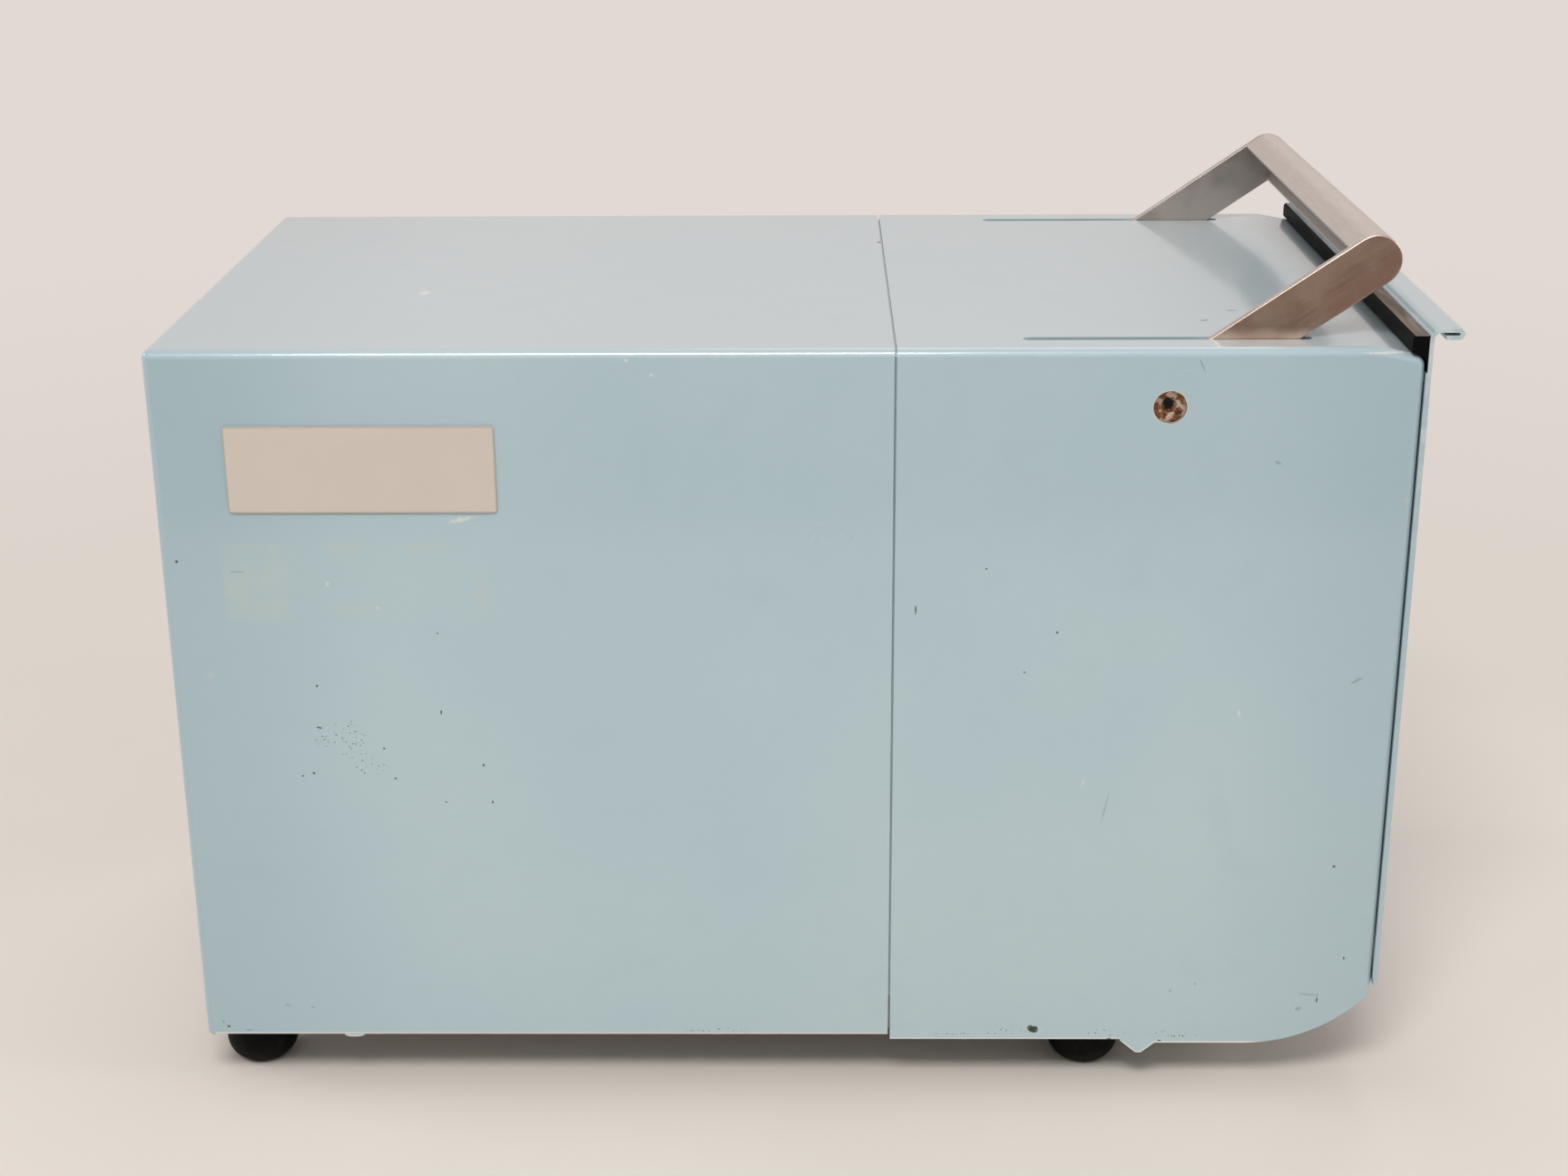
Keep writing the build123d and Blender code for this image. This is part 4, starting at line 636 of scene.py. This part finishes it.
# A paper label was peeled off under the badge. Its shape is left in old glue, thickest at its left end.
label_middle = Vector((-149.5 * mm, left_face, 194.3 * mm))
label_half = Vector((46.0, 0, 14.0)) * mm
label_edge = 0.8 * mm
thick_up_to, thin_from = -177.0 * mm, -170.0 * mm


def inset_in(coat, middle, half):
    """How far inside the nearest edge of a rectangle on the side a place is, in metres."""
    return (half.x - abs(coat.along("X") - middle.x)).least(half.z - abs(coat.along("Z") - middle.z))


label = inset_in(rear_coat, label_middle, label_half).ramp(0.0, label_edge)
label = label * rear_coat.facing("Y").ramp(-0.7, -0.9)
blotches = rear_coat.noise(11 * mm, 4.0).ramp(0.38, 0.7)
thick_glue = 1 - rear_coat.along("X").ramp(thick_up_to, thin_from)
rear_coat.tinted(old_glue, label * (0.1 + 0.42 * thick_glue) * (0.35 + 0.65 * blotches))

# The cut edge of the sheet is painted pale along the tab and in front of it, where no fold hides it: partly
# bare edge, partly a painted highlight on the lit edge.
tab_tip_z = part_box("front_cover")[0].z
tab_x, tab_tip_half = 121.9 * mm, 1.0 * mm
tab_steepness = 0.845
edge_z = tab_tip_z + 4.0 * mm
bare_height, painted_height = 0.4 * mm, 0.8 * mm
fading_from, faded_at = 158.0 * mm, 178.0 * mm
along = front_coat.along("X")
flank = tab_tip_z + (abs(along - tab_x) - tab_tip_half) * tab_steepness
over_edge = front_coat.along("Z") - flank.most(tab_tip_z).least(edge_z)
bare_and_highlit_edge = (1 - over_edge.ramp(bare_height, painted_height)) * (1 - along.ramp(fading_from, faded_at))
front_coat.tinted(worn_and_highlit_edge, bare_and_highlit_edge * abs(front_coat.facing("Y")).ramp(0.5, 0.8) * 0.85)

# The largest chip, low down before the front foot, is black to the bottom.
pit = front_coat.spot(*mark(83.4, 22.2, 1.7, 1.4), edge=0.2, ragged=front_coat.noise(1.3 * mm, 3.0))
front_coat.tinted(shade(12, 13, 14), pit * 0.95)


def middle_of(node):
    """The middle of the box round a node."""
    low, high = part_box(node)
    return (low + high) / 2


# The enamel is chipped back to primer and rust in a ring round the pivot screw's hole.
pivot = middle_of("pivot_screws")
hole_places = ((pivot.x, left_face, pivot.z), (pivot.x, -left_face, pivot.z))
ring_noise = front_coat.noise(2.2 * mm, 2.0) * 0.07 + 0.465
primer_ring = (5.8 * mm, 0.04, shade(222, 212, 204), 0.9)
rust_ring = (5.5 * mm, 0.03, rust_brown, 0.85)
for hole in hole_places:
    for radius, softness, colour, cover in (primer_ring, rust_ring):
        ring = front_coat.spot(hole, (radius, mark_depth, radius), edge=softness, ragged=ring_noise)
        front_coat.tinted(colour, ring * cover)

# The door's cut ends are rubbed pale near the top by the hands that shut it.
rubbed_from, most_rubbed_at = 180 * mm, 272 * mm
rubbed_ends = abs(door_coat.facing("Y")).ramp(0.75, 0.95)
rubbed_ends = rubbed_ends * door_coat.along("Z").ramp(rubbed_from, most_rubbed_at)
door_coat.tinted(worn_and_highlit_edge, rubbed_ends * (0.1 + 0.3 * door_coat.noise(6 * mm, 3.0).ramp(0.4, 0.6)))

dressed("rear_cover", "rear_shell", rear_coat.material, edge=0.25 * mm)
dressed("front_cover", "front_shell", front_coat.material, edge=0.125 * mm)
dressed("door_panel", "door_skin", door_coat.material, edge=0.25 * mm)


def as_mesh(name, shape):
    """Writes a shape being built into a mesh, and lets the shape go."""
    mesh = bpy.data.meshes.new(name)
    shape.to_mesh(mesh)
    shape.free()
    return mesh


def own_piece(name, mesh, finish, body):
    """A piece that is made here and stands for no node, on the body that it rides."""
    mesh.materials.clear()
    mesh.materials.append(finish)
    piece = in_scene(name, mesh)
    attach(piece, body)


# The door's side edges are folded in on themselves, and the two folds close on the front cover's edges.
fold_gap, fold_tuck, fold_proud = 0.04 * mm, 0.6 * mm, 0.02 * mm
fold_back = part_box("front_cover")[1].x + fold_gap
fold_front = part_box("door_gasket")[1].x + fold_tuck
fold_low, fold_high = 43 * mm, 266 * mm
fold_width = 1.4 * mm
fold_size = Matrix.Diagonal((fold_front - fold_back, fold_width, fold_high - fold_low, 1))
side_folds = bmesh.new()
for side in (-1, 1):
    fold_middle = Vector(((fold_back + fold_front) / 2, side * (-left_face + fold_proud - fold_width / 2),
                          (fold_low + fold_high) / 2))
    bmesh.ops.create_cube(side_folds, size=1.0, matrix=Matrix.Translation(fold_middle) @ fold_size)
own_piece("door_side_folds", as_mesh("door_side_folds", side_folds), door_coat.material, "door")

# A run of enamel dried in a low drop along the rear cover's lower edge.
drop_middle = Vector((-162.3, -112.9, 19.5)) * mm
drop_half = Vector((3.7, 0.45, 0.95)) * mm
drop_shape = bmesh.new()
bmesh.ops.create_uvsphere(drop_shape, u_segments=20, v_segments=10, radius=1.0)
bmesh.ops.transform(drop_shape, matrix=Matrix.Translation(drop_middle) @ Matrix.Diagonal((*drop_half, 1)),
                    verts=drop_shape.verts)
drop_mesh = as_mesh("enamel_run", drop_shape)
drop_mesh.shade_smooth()
own_piece("enamel_run", drop_mesh, rear_coat.material, "chassis")


# -------------------- badge plate
# A blank aluminium plate, sprayed cream, glued to the left side. A dark line runs round it
# just inside its edge, and the paint is worn thin at the corners.
badge_middle = middle_of("badge_plate")
badge_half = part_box("badge_plate")[1] - badge_middle
line_from, line_to = 0.35 * mm, 0.7 * mm
cream = Finish("badge_cream", shade(215, 204, 192), 0.42)
rim = 1 - inset_in(cream, badge_middle, badge_half).ramp(line_from, line_to)
cream.clouded(shade(222, 212, 201), 0.3, 30 * mm, 0.4, 0.7)
cream.tinted(shade(168, 155, 142), rim * 0.5)
cream.roughened(0.36, 0.14, 6 * mm, 3.0)
cream.grained(1.4 * mm, 0.02 * mm)
dressed("badge_plate", "badge_face", cream.material, 0.18 * mm)


# -------------------- case screws
# Pan-head screws with a cross recess, zinc plated, driven up from below through the covers'
# turned-in edges and through the rubber feet into the tray.
class Jig(Nodes):
    """A geometry tree with named sizes, run once on a set of places to make a plain mesh."""

    def __init__(self, name, **sizes):
        super().__init__(bpy.data.node_groups.new(name, "GeometryNodeTree"))
        self.name = name
        self.sizes = {}
        face = self.tree.interface
        face.new_socket(name="Geometry", in_out="OUTPUT", socket_type="NodeSocketGeometry")
        face.new_socket(name="Places", in_out="INPUT", socket_type="NodeSocketGeometry")
        for size, value in sizes.items():
            made = face.new_socket(name=size, in_out="INPUT", socket_type="NodeSocketFloat")
            self.sizes[made.identifier] = value
        entry = self.tree.nodes.new("NodeGroupInput")
        self.places = Level(self, entry.outputs["Places"])
        for size in sizes:
            setattr(self, size, Level(self, entry.outputs[size]))

    def box(self, x, y, z):
        """A block about the origin; each size is a value or a level."""
        size = self.add("ShaderNodeCombineXYZ", {}, {0: x, 1: y, 2: z})
        return self.add("GeometryNodeMeshCube", {}, {"Size": size})

    def raised(self, shape, height):
        """The shape moved up by a level."""
        move = self.add("ShaderNodeCombineXYZ", {}, {2: height})
        return self.add("GeometryNodeTransform", {}, {"Geometry": shape, "Translation": move})

    def joined(self, *shapes):
        """Several shapes as one."""
        node = self.tree.nodes.new("GeometryNodeJoinGeometry")
        for shape in shapes:
            self.tree.links.new(shape.socket, node.inputs[0])
        return Level(self, node.outputs[0])

    def cut(self, shape, *tools):
        """The shape less its tools."""
        node = self.tree.nodes.new("GeometryNodeMeshBoolean")
        node.operation = "DIFFERENCE"
        node.solver = "EXACT"
        self.tree.links.new(shape.socket, node.inputs["Mesh 1"])
        for tool in tools:
            self.tree.links.new(tool.socket, node.inputs["Mesh 2"])
        return Level(self, node.outputs["Mesh"])

    def make(self, name, shape, finish, places, turns, body, slot):
        """Sets the shape on every place with its turn, and gives the plain mesh as a piece of a body."""
        swing = self.add("GeometryNodeInputNamedAttribute", {"data_type": "FLOAT_VECTOR"}, {"Name": "turn"})
        spread = self.add("GeometryNodeInstanceOnPoints", {},
                          {"Points": self.places, "Instance": shape, "Rotation": swing})
        solid = self.add("GeometryNodeRealizeInstances", {}, {"Geometry": spread})
        done = self.add("GeometryNodeSetMaterial", {}, {"Geometry": solid, "Material": finish})
        leave = self.tree.nodes.new("NodeGroupOutput")
        self.tree.links.new(done.socket, leave.inputs["Geometry"])
        mesh = bpy.data.meshes.new(self.name + "_places")
        mesh.from_pydata(places, [], [])
        held = mesh.attributes.new("turn", "FLOAT_VECTOR", "POINT")
        for value, turn in zip(held.data, turns):
            value.vector = turn
        piece = in_scene(name, mesh)
        modifier = piece.modifiers.new(self.name, "NODES")
        modifier.node_group = self.tree
        for identifier, value in self.sizes.items():
            modifier[identifier] = value
        applied(piece)
        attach(piece, body)
        return piece


def solids_of(node):
    """Middle and lowest corner of the box round each separate solid of a node."""
    shape = bmesh.new()
    shape.from_mesh(frame["nodes"][node].data)
    bmesh.ops.remove_doubles(shape, verts=shape.verts, dist=weld)
    left = set(shape.verts)
    found = []
    while left:
        reached = {left.pop()}
        to_visit = list(reached)
        while to_visit:
            vert = to_visit.pop()
            for link in vert.link_edges:
                other = link.other_vert(vert)
                if other not in reached:
                    reached.add(other)
                    to_visit.append(other)
        left -= reached
        low = Vector([min(v.co[i] for v in reached) for i in range(3)])
        high = Vector([max(v.co[i] for v in reached) for i in range(3)])
        found.append(((low + high) / 2, low))
    shape.free()
    return sorted(found, key=lambda place: tuple(place[0]))


screw_zinc = plated("screw_zinc", (0.52, 0.52, 0.50, 1), 0.34)
head_height = 2.4 * mm
overlap = 0.1 * mm
overcut = 0.04
turn_step = 0.7
jig = Jig("pan_head_screw", head_radius=3.5 * mm, head_height=head_height, crown=0.7 * mm,
          recess_long=4.2 * mm, recess_wide=0.9 * mm, recess_depth=1.5 * mm, shank_radius=1.75 * mm,
          shank_length=9.0 * mm)
disc = jig.add("GeometryNodeMeshCylinder", {}, {"Vertices": 28, "Side Segments": 2, "Fill Segments": 5,
                                                "Radius": jig.head_radius, "Depth": jig.head_height})
spot = jig.add("GeometryNodeInputPosition", {}, {})
flat = jig.add("ShaderNodeVectorMath", {"operation": "MULTIPLY"}, {0: spot, 1: (1, 1, 0)})
out = jig.length(flat) / jig.head_radius
height = jig.add("ShaderNodeSeparateXYZ", {}, {0: spot}, "Z")
lift = out * out * out * jig.crown * (height < 0)
offset = jig.add("ShaderNodeCombineXYZ", {}, {2: lift})
head = jig.add("GeometryNodeSetPosition", {}, {"Geometry": disc, "Offset": offset})
recess_z = jig.recess_depth * 0.5 - jig.head_height * 0.5 - jig.recess_depth * (overcut / 2)
tools = [jig.raised(jig.box(x, y, jig.recess_depth * (1 + overcut)), recess_z)
         for x, y in ((jig.recess_long, jig.recess_wide), (jig.recess_wide, jig.recess_long))]
head = jig.cut(head, *tools)
shank = jig.add("GeometryNodeMeshCylinder", {}, {"Vertices": 20, "Radius": jig.shank_radius,
                                                 "Depth": jig.shank_length})
head = jig.raised(head, jig.head_height * -0.5)
shank = jig.raised(shank, jig.shank_length * 0.5 - overlap)
seats = [(middle.x, middle.y, low.z + head_height) for middle, low in solids_of("case_screws")]
turns = [(0, 0, turn_step * number) for number in range(len(seats))]
screws = jig.make("pan_head_screws", jig.joined(head, shank), screw_zinc, seats, turns,
                  "chassis", "screw_steel")
screws.data.shade_smooth()
screws.data.set_sharp_from_angle(angle=math.radians(35))
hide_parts("case_screws")


# -------------------- handle
# Two flat arms and a rolled grip of 3 mm and 2 mm stainless, welded at the noses and polished to a satin.
# The arms pass down through slots in the cover to the pivots; their edges are broken by hand. Their outer
# faces have browned with age and handling. Their inner faces are darker, and their narrow edges are darker
# too, a painted shade that tones down the highlight along them.
grip_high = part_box("handle_grip")[1]
nose_radius = 8.55 * mm
arm_turn = math.atan2(grip_high.z - nose_radius - pivot.z, grip_high.x - nose_radius - pivot.x)
arm_steel = brushed("arm_steel", (0.79, 0.70, 0.64, 1), 0.32, (0, -arm_turn, 0), (60, 1, 1), 0.3 * mm, 0.6)
arm_steel.clouded((0.38, 0.34, 0.31, 1), 0.6, 20 * mm, 0.46, 0.62, 2.0)
arm_face = -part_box("handle_arm_left")[0].y
film_from, film_full = arm_face - 0.6 * mm, arm_face - 0.1 * mm
inner_full, inner_from = arm_face - 2.9 * mm, arm_face - 2.4 * mm
from_middle = abs(arm_steel.along("Y"))
flat_side = abs(arm_steel.facing("Y")).ramp(0.75, 0.98)
tarnish = from_middle.ramp(film_from, film_full) * flat_side
arm_steel.tinted((0.36, 0.33, 0.305, 1), (1 - from_middle.ramp(inner_full, inner_from)) * 0.55)
# Painted shade: the narrow edges are darkened to tone down the highlight along them.
arm_steel.tinted((0.46, 0.42, 0.39, 1), (1 - flat_side) * 0.5)
browned = arm_steel.noise(14 * mm, 4.0).ramp(0.38, 0.66)
arm_steel.tinted((0.72, 0.55, 0.44, 1), tarnish * 0.9)
arm_steel.tinted((0.56, 0.36, 0.28, 1), tarnish * browned * 0.75)
grip_steel = brushed("grip_steel", (0.58, 0.535, 0.505, 1), 0.62, grain=(1, 50, 1), fine=0.3 * mm,
                     marks=0.1)
for side in ("left", "right"):
    dressed("handle_arm_" + side, "arm_bar_" + side, arm_steel.material, 0.5 * mm)
dressed("handle_grip", "grip_roll", grip_steel.material, 0.15 * mm)
painted(["cam_pins"], bright_steel)


# -------------------- pivot screws
# Socket-head screws in the studs that the handle turns on, set back in holes in the front cover.
# Their plating is gone: the heads are brown and scaly with rust, and the sockets are painted dark, a
# painted shade for their depth.
rust = Finish("rusted_head", shade(158, 108, 70), 0.62, 0.15)
socket_shade_reach = (2.5 * mm, 9.0 * mm, 2.5 * mm)
scale = rust.noise(2.6 * mm, 3.0, centre=(0.4 * mm, 0, 0.9 * mm))
crust = rust.noise(1.1 * mm, 3.0)
rust.tinted(shade(232, 208, 188), scale.ramp(0.49, 0.56) * 0.95)
rust.tinted(shade(84, 42, 34), (1 - scale.ramp(0.38, 0.44)) * 0.95)
rust.tinted(shade(196, 168, 140), crust.ramp(0.58, 0.66) * 0.6)
rust.roughened(0.45, 0.4, 0.8 * mm, 3.0)
rust.bump(scale, 0.35 * mm)
rust.bump(crust, 0.1 * mm)
# Painted shade: a near-black spot fills the middle of each socket, where its depth lies in shade.
for hole in hole_places:
    socket = rust.spot(hole, socket_shade_reach, edge=0.1, ragged=crust * 0.4 + 0.3)
    rust.tinted(shade(14, 12, 14), socket * 0.97)
dressed("pivot_screws", "rusted_screws", rust.material, 0.15 * mm)


# -------------------- door arms, nuts and gasket
# Plated side arms carry the door on its hinge pins, held by nuts on studs welded to the door's skin.
# A black rubber wedge along the door's top closes against the front cover. Its upper face is dusty at the
# near end, and further on it has taken up blue enamel from the door.
dressed("door_arm_left", "arm_plate_left", zinc)
dressed("door_arm_right", "arm_plate_right", zinc)
painted(["door_nuts"], screw_zinc)
gasket_rubber = Finish("gasket_rubber", rubber_black, 0.55, Specular_IOR_Level=0.08)
black_up_to, blue_from = -35 * mm, -20 * mm
worn = gasket_rubber.noise(2.5 * mm, 3.0, stretch=(1, 8, 1))
dusted = gasket_rubber.facing("Z").ramp(0.85, 0.98) * (0.6 + 0.4 * worn.ramp(0.35, 0.6))
rubbed_off = gasket_rubber.along("Y").ramp(black_up_to, blue_from)
gasket_rubber.tinted(shade(150, 135, 123), dusted * 0.85)
gasket_rubber.tinted(shade(150, 164, 172), dusted * rubbed_off * 0.8)
gasket_rubber.set("Roughness", 0.5 + 0.25 * worn)
gasket_rubber.bump(worn, 0.02 * mm)
dressed("door_gasket", "gasket_wedge", gasket_rubber.material, 0.2 * mm)


# -------------------- control recess
# A pressed tray let into the right side, sprayed grey, holds the timer's knob, the switch and the lamp.
# A white index line over the knob shows where its scale is read.
recess_grey = Finish("recess_grey", shade(150, 156, 158), 0.45)
recess_grey.clouded(shade(134, 141, 144), 0.4, 20 * mm, 0.45, 0.7)
recess_grey.roughened(0.4, 0.14, 5 * mm)
recess_grey.grained(1.3 * mm, 0.03 * mm)
dressed("control_recess", "recess_tray", recess_grey.material, 0.2 * mm)

print_white = Finish("print_white", shade(228, 226, 220), 0.5)
print_white.clouded(shade(196, 193, 186), 0.5, 1.2 * mm, 0.45, 0.7)


def placed_flat(mesh, centre, right, up, lift):
    """Lays a flat mesh drawn in X and Y on a face: its X along right, its Y along up."""
    out = Vector(right).cross(Vector(up))
    turn = Matrix((right, up, out)).transposed().to_4x4()
    mesh.transform(Matrix.Translation(Vector(centre) + out * lift) @ turn)


def bar(width, height, thickness):
    """A thin flat bar, centred."""
    shape = bmesh.new()
    bmesh.ops.create_cube(shape, size=1.0)
    bmesh.ops.scale(shape, vec=(width, height, thickness), verts=shape.verts)
    return as_mesh("bar", shape)


ink = 0.06 * mm
knob_gap = 0.6 * mm
index_wide, index_long, index_over = 0.9 * mm, 4.0 * mm, 3.2 * mm
viewer_right = Vector((-1, 0, 0))
viewer_up = Vector((0, 0, 1))
knob_low, knob_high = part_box("timer_knob")
knob_middle = middle_of("timer_knob")
skirt_radius = (knob_high.x - knob_low.x) / 2
index_line = bar(index_wide, index_long, ink)
index_middle = (knob_middle.x, knob_low.y - knob_gap, knob_middle.z + skirt_radius + index_over)
placed_flat(index_line, index_middle, viewer_right, viewer_up, ink / 2)
own_piece("index_line", index_line, print_white.material, "chassis")


# -------------------- timer knob
# A black moulded knob, fluted for the fingers. Its skirt carries a white scale of minutes, with a tick
# at every half and a figure at each whole number, and a white line on its crown.
knob_black = Finish("knob_black", shade(28, 28, 30), 0.28)
knob_black.clouded(shade(52, 51, 50), 0.35, 6 * mm, 0.5, 0.75)
knob_black.roughened(0.22, 0.16, 4 * mm, 3.0)
knob_black.grained(0.7 * mm, 0.012 * mm)
dressed("timer_knob", "knob_moulding", knob_black.material, 0.35 * mm, smooth=45)


def figure(text, height, thickness):
    """A numeral as a thin solid, centred on its own middle."""
    size_to_height = 1.4
    curve = bpy.data.curves.new("figure", "FONT")
    curve.body = text
    curve.size = height * size_to_height
    curve.extrude = thickness / 2
    curve.align_x = "CENTER"
    curve.align_y = "CENTER"
    holder = in_scene("figure", curve)
    ready = holder.evaluated_get(bpy.context.evaluated_depsgraph_get())
    mesh = bpy.data.meshes.new_from_object(ready)
    bpy.data.objects.remove(holder)
    return mesh


skirt_height = 3.0 * mm
skirt_centre = Vector((knob_middle.x, knob_low.y + skirt_height, knob_middle.z))
minutes = 5
scale_turn = math.radians(300)
figure_height, figure_inset = 1.35 * mm, 1.45 * mm
tick_reach = skirt_radius - 0.75 * mm
figures = bmesh.new()
tick_places = []
tick_turns = []
for half in range(2 * minutes + 1):
    angle = scale_turn * half / (2 * minutes)
    away = viewer_right * -math.sin(angle) + viewer_up * math.cos(angle)
    tick_places.append(skirt_centre + away * tick_reach)
    tick_turns.append((0, math.atan2(away.x, away.z), 0))
    if half % 2 == 0:
        drawn = figure(str(half // 2), figure_height, ink)
        right = viewer_right * math.cos(angle) + viewer_up * math.sin(angle)
        placed_flat(drawn, skirt_centre + away * (tick_reach - figure_inset), right, away, ink / 2)
        figures.from_mesh(drawn)
own_piece("scale_figures", as_mesh("scale_figures", figures), print_white.material, "knob")
tick_jig = Jig("scale_tick", tick_long=1.1 * mm, tick_wide=0.3 * mm, tick_deep=2 * ink)
tick = tick_jig.box(tick_jig.tick_wide, tick_jig.tick_deep, tick_jig.tick_long)
tick_jig.make("scale_ticks", tick, print_white.material, tick_places, tick_turns, "knob", "badge")
crown_wide, crown_long, crown_out, crown_proud = 1.0 * mm, 11.0 * mm, 8.0 * mm, 0.01 * mm
crown_line = bar(crown_wide, crown_long, ink)
placed_flat(crown_line, (knob_middle.x, knob_high.y, knob_middle.z + crown_out), viewer_right, viewer_up,
            crown_proud - ink / 2)
own_piece("crown_line", crown_line, print_white.material, "knob")


# -------------------- power switch and lamp
# A black rocker in a moulded housing that clips into the recess, marked with a bar for on and a ring
# for off. Beside it is an amber neon lamp with a domed lens.
cap = dressed("power_rocker", "rocker_cap", knob_black.material, 0.3 * mm, smooth=30)
dressed("switch_body", "switch_bezel", moulded.material, 0.2 * mm)


def face_at(piece, x, z):
    """Where a line straight in from the right meets a piece, and which way its face looks there."""
    shape = bmesh.new()
    shape.from_mesh(piece.data)
    hit, normal, _, _ = BVHTree.FromBMesh(shape).ray_cast(Vector((x, 1, z)), Vector((0, -1, 0)))
    shape.free()
    return hit, normal


rocker_middle = middle_of("power_rocker")
bar_wide, bar_long, mark_height = 0.6 * mm, 3.6 * mm, 5.5 * mm
ring_sides = 32
ring_inner, ring_outer = 1.3 * mm, 1.8 * mm
ring_shape = bmesh.new()
ring_circles = []
for radius, level in ((ring_inner, 0), (ring_outer, 0), (ring_outer, 1), (ring_inner, 1)):
    ring_circles.append([ring_shape.verts.new((radius * math.cos(2 * math.pi * i / ring_sides),
                                               radius * math.sin(2 * math.pi * i / ring_sides),
                                               (level - 0.5) * ink)) for i in range(ring_sides)])
for one_ring, next_ring in zip(ring_circles, ring_circles[1:] + ring_circles[:1]):
    for i in range(ring_sides):
        ahead = (i + 1) % ring_sides
        ring_shape.faces.new((one_ring[i], one_ring[ahead], next_ring[ahead], next_ring[i]))
bmesh.ops.recalc_face_normals(ring_shape, faces=ring_shape.faces)
for name, drawn, height in (("rocker_bar", bar(bar_wide, bar_long, ink), mark_height),
                            ("rocker_ring", as_mesh("ring", ring_shape), -mark_height)):
    hit, normal = face_at(cap, rocker_middle.x, rocker_middle.z + height)
    face_up = (viewer_up - normal * viewer_up.dot(normal)).normalized()
    face_right = face_up.cross(normal)
    placed_flat(drawn, hit, face_right, face_up, ink / 2)
    own_piece(name, drawn, print_white.material, "rocker")

amber = Finish("lamp_amber", shade(232, 126, 40), 0.16, Transmission_Weight=0.35, IOR=1.5)
amber.clouded(shade(196, 84, 24), 0.5, 2 * mm, 0.4, 0.7, 2.0)
amber.grained(1.1 * mm, 0.06 * mm, 1.0)
dressed("pilot_lamp", "lamp_dome", amber.material, smooth=60)


# -------------------- mains inlet and fuse
# A black appliance inlet with three flat nickel pins is riveted to the back, low down.
# Beside it is a fuse holder whose cap has a coin slot and fine ribs round its edge.
inlet = dressed("mains_inlet", "inlet_socket", moulded.material, 0.15 * mm)
inlet.data.materials.append(plated("pin_nickel", (0.62, 0.60, 0.55, 1), 0.25))
back_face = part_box("rear_cover")[0].x
inlet_low, inlet_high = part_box("mains_inlet")
pins_low = Vector((back_face + 5.5 * mm, inlet_low.y + 5.5 * mm, inlet_low.z + 6.0 * mm))
pins_high = inlet_high - Vector((1.9, 5.5, 6.0)) * mm
for face in inlet.data.polygons:
    corners = [inlet.data.vertices[i].co for i in face.vertices]
    if all(pins_low[i] < corner[i] < pins_high[i] for corner in corners for i in range(3)):
        face.material_index = 1
dressed("fuse_holder", "fuse_cap", moulded.material, 0.12 * mm)
fuse_middle = middle_of("fuse_holder")
rib_count = 36
rib_proud, rib_out = 0.05 * mm, 1.0 * mm
rib_jig = Jig("cap_rib", rib_long=1.7 * mm, rib_deep=0.3 * mm, rib_wide=0.45 * mm)
rib = rib_jig.box(rib_jig.rib_long, rib_jig.rib_deep, rib_jig.rib_wide)
rib_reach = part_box("fuse_holder")[1].y - fuse_middle.y + rib_proud
rib_angles = [2 * math.pi * i / rib_count for i in range(rib_count)]
rib_places = [(back_face - rib_out, fuse_middle.y + rib_reach * math.cos(angle),
               fuse_middle.z + rib_reach * math.sin(angle)) for angle in rib_angles]
rib_turns = [(angle, 0, 0) for angle in rib_angles]
rib_jig.make("fuse_cap_ribs", rib, moulded.material, rib_places, rib_turns, "chassis", "dark_plastic")
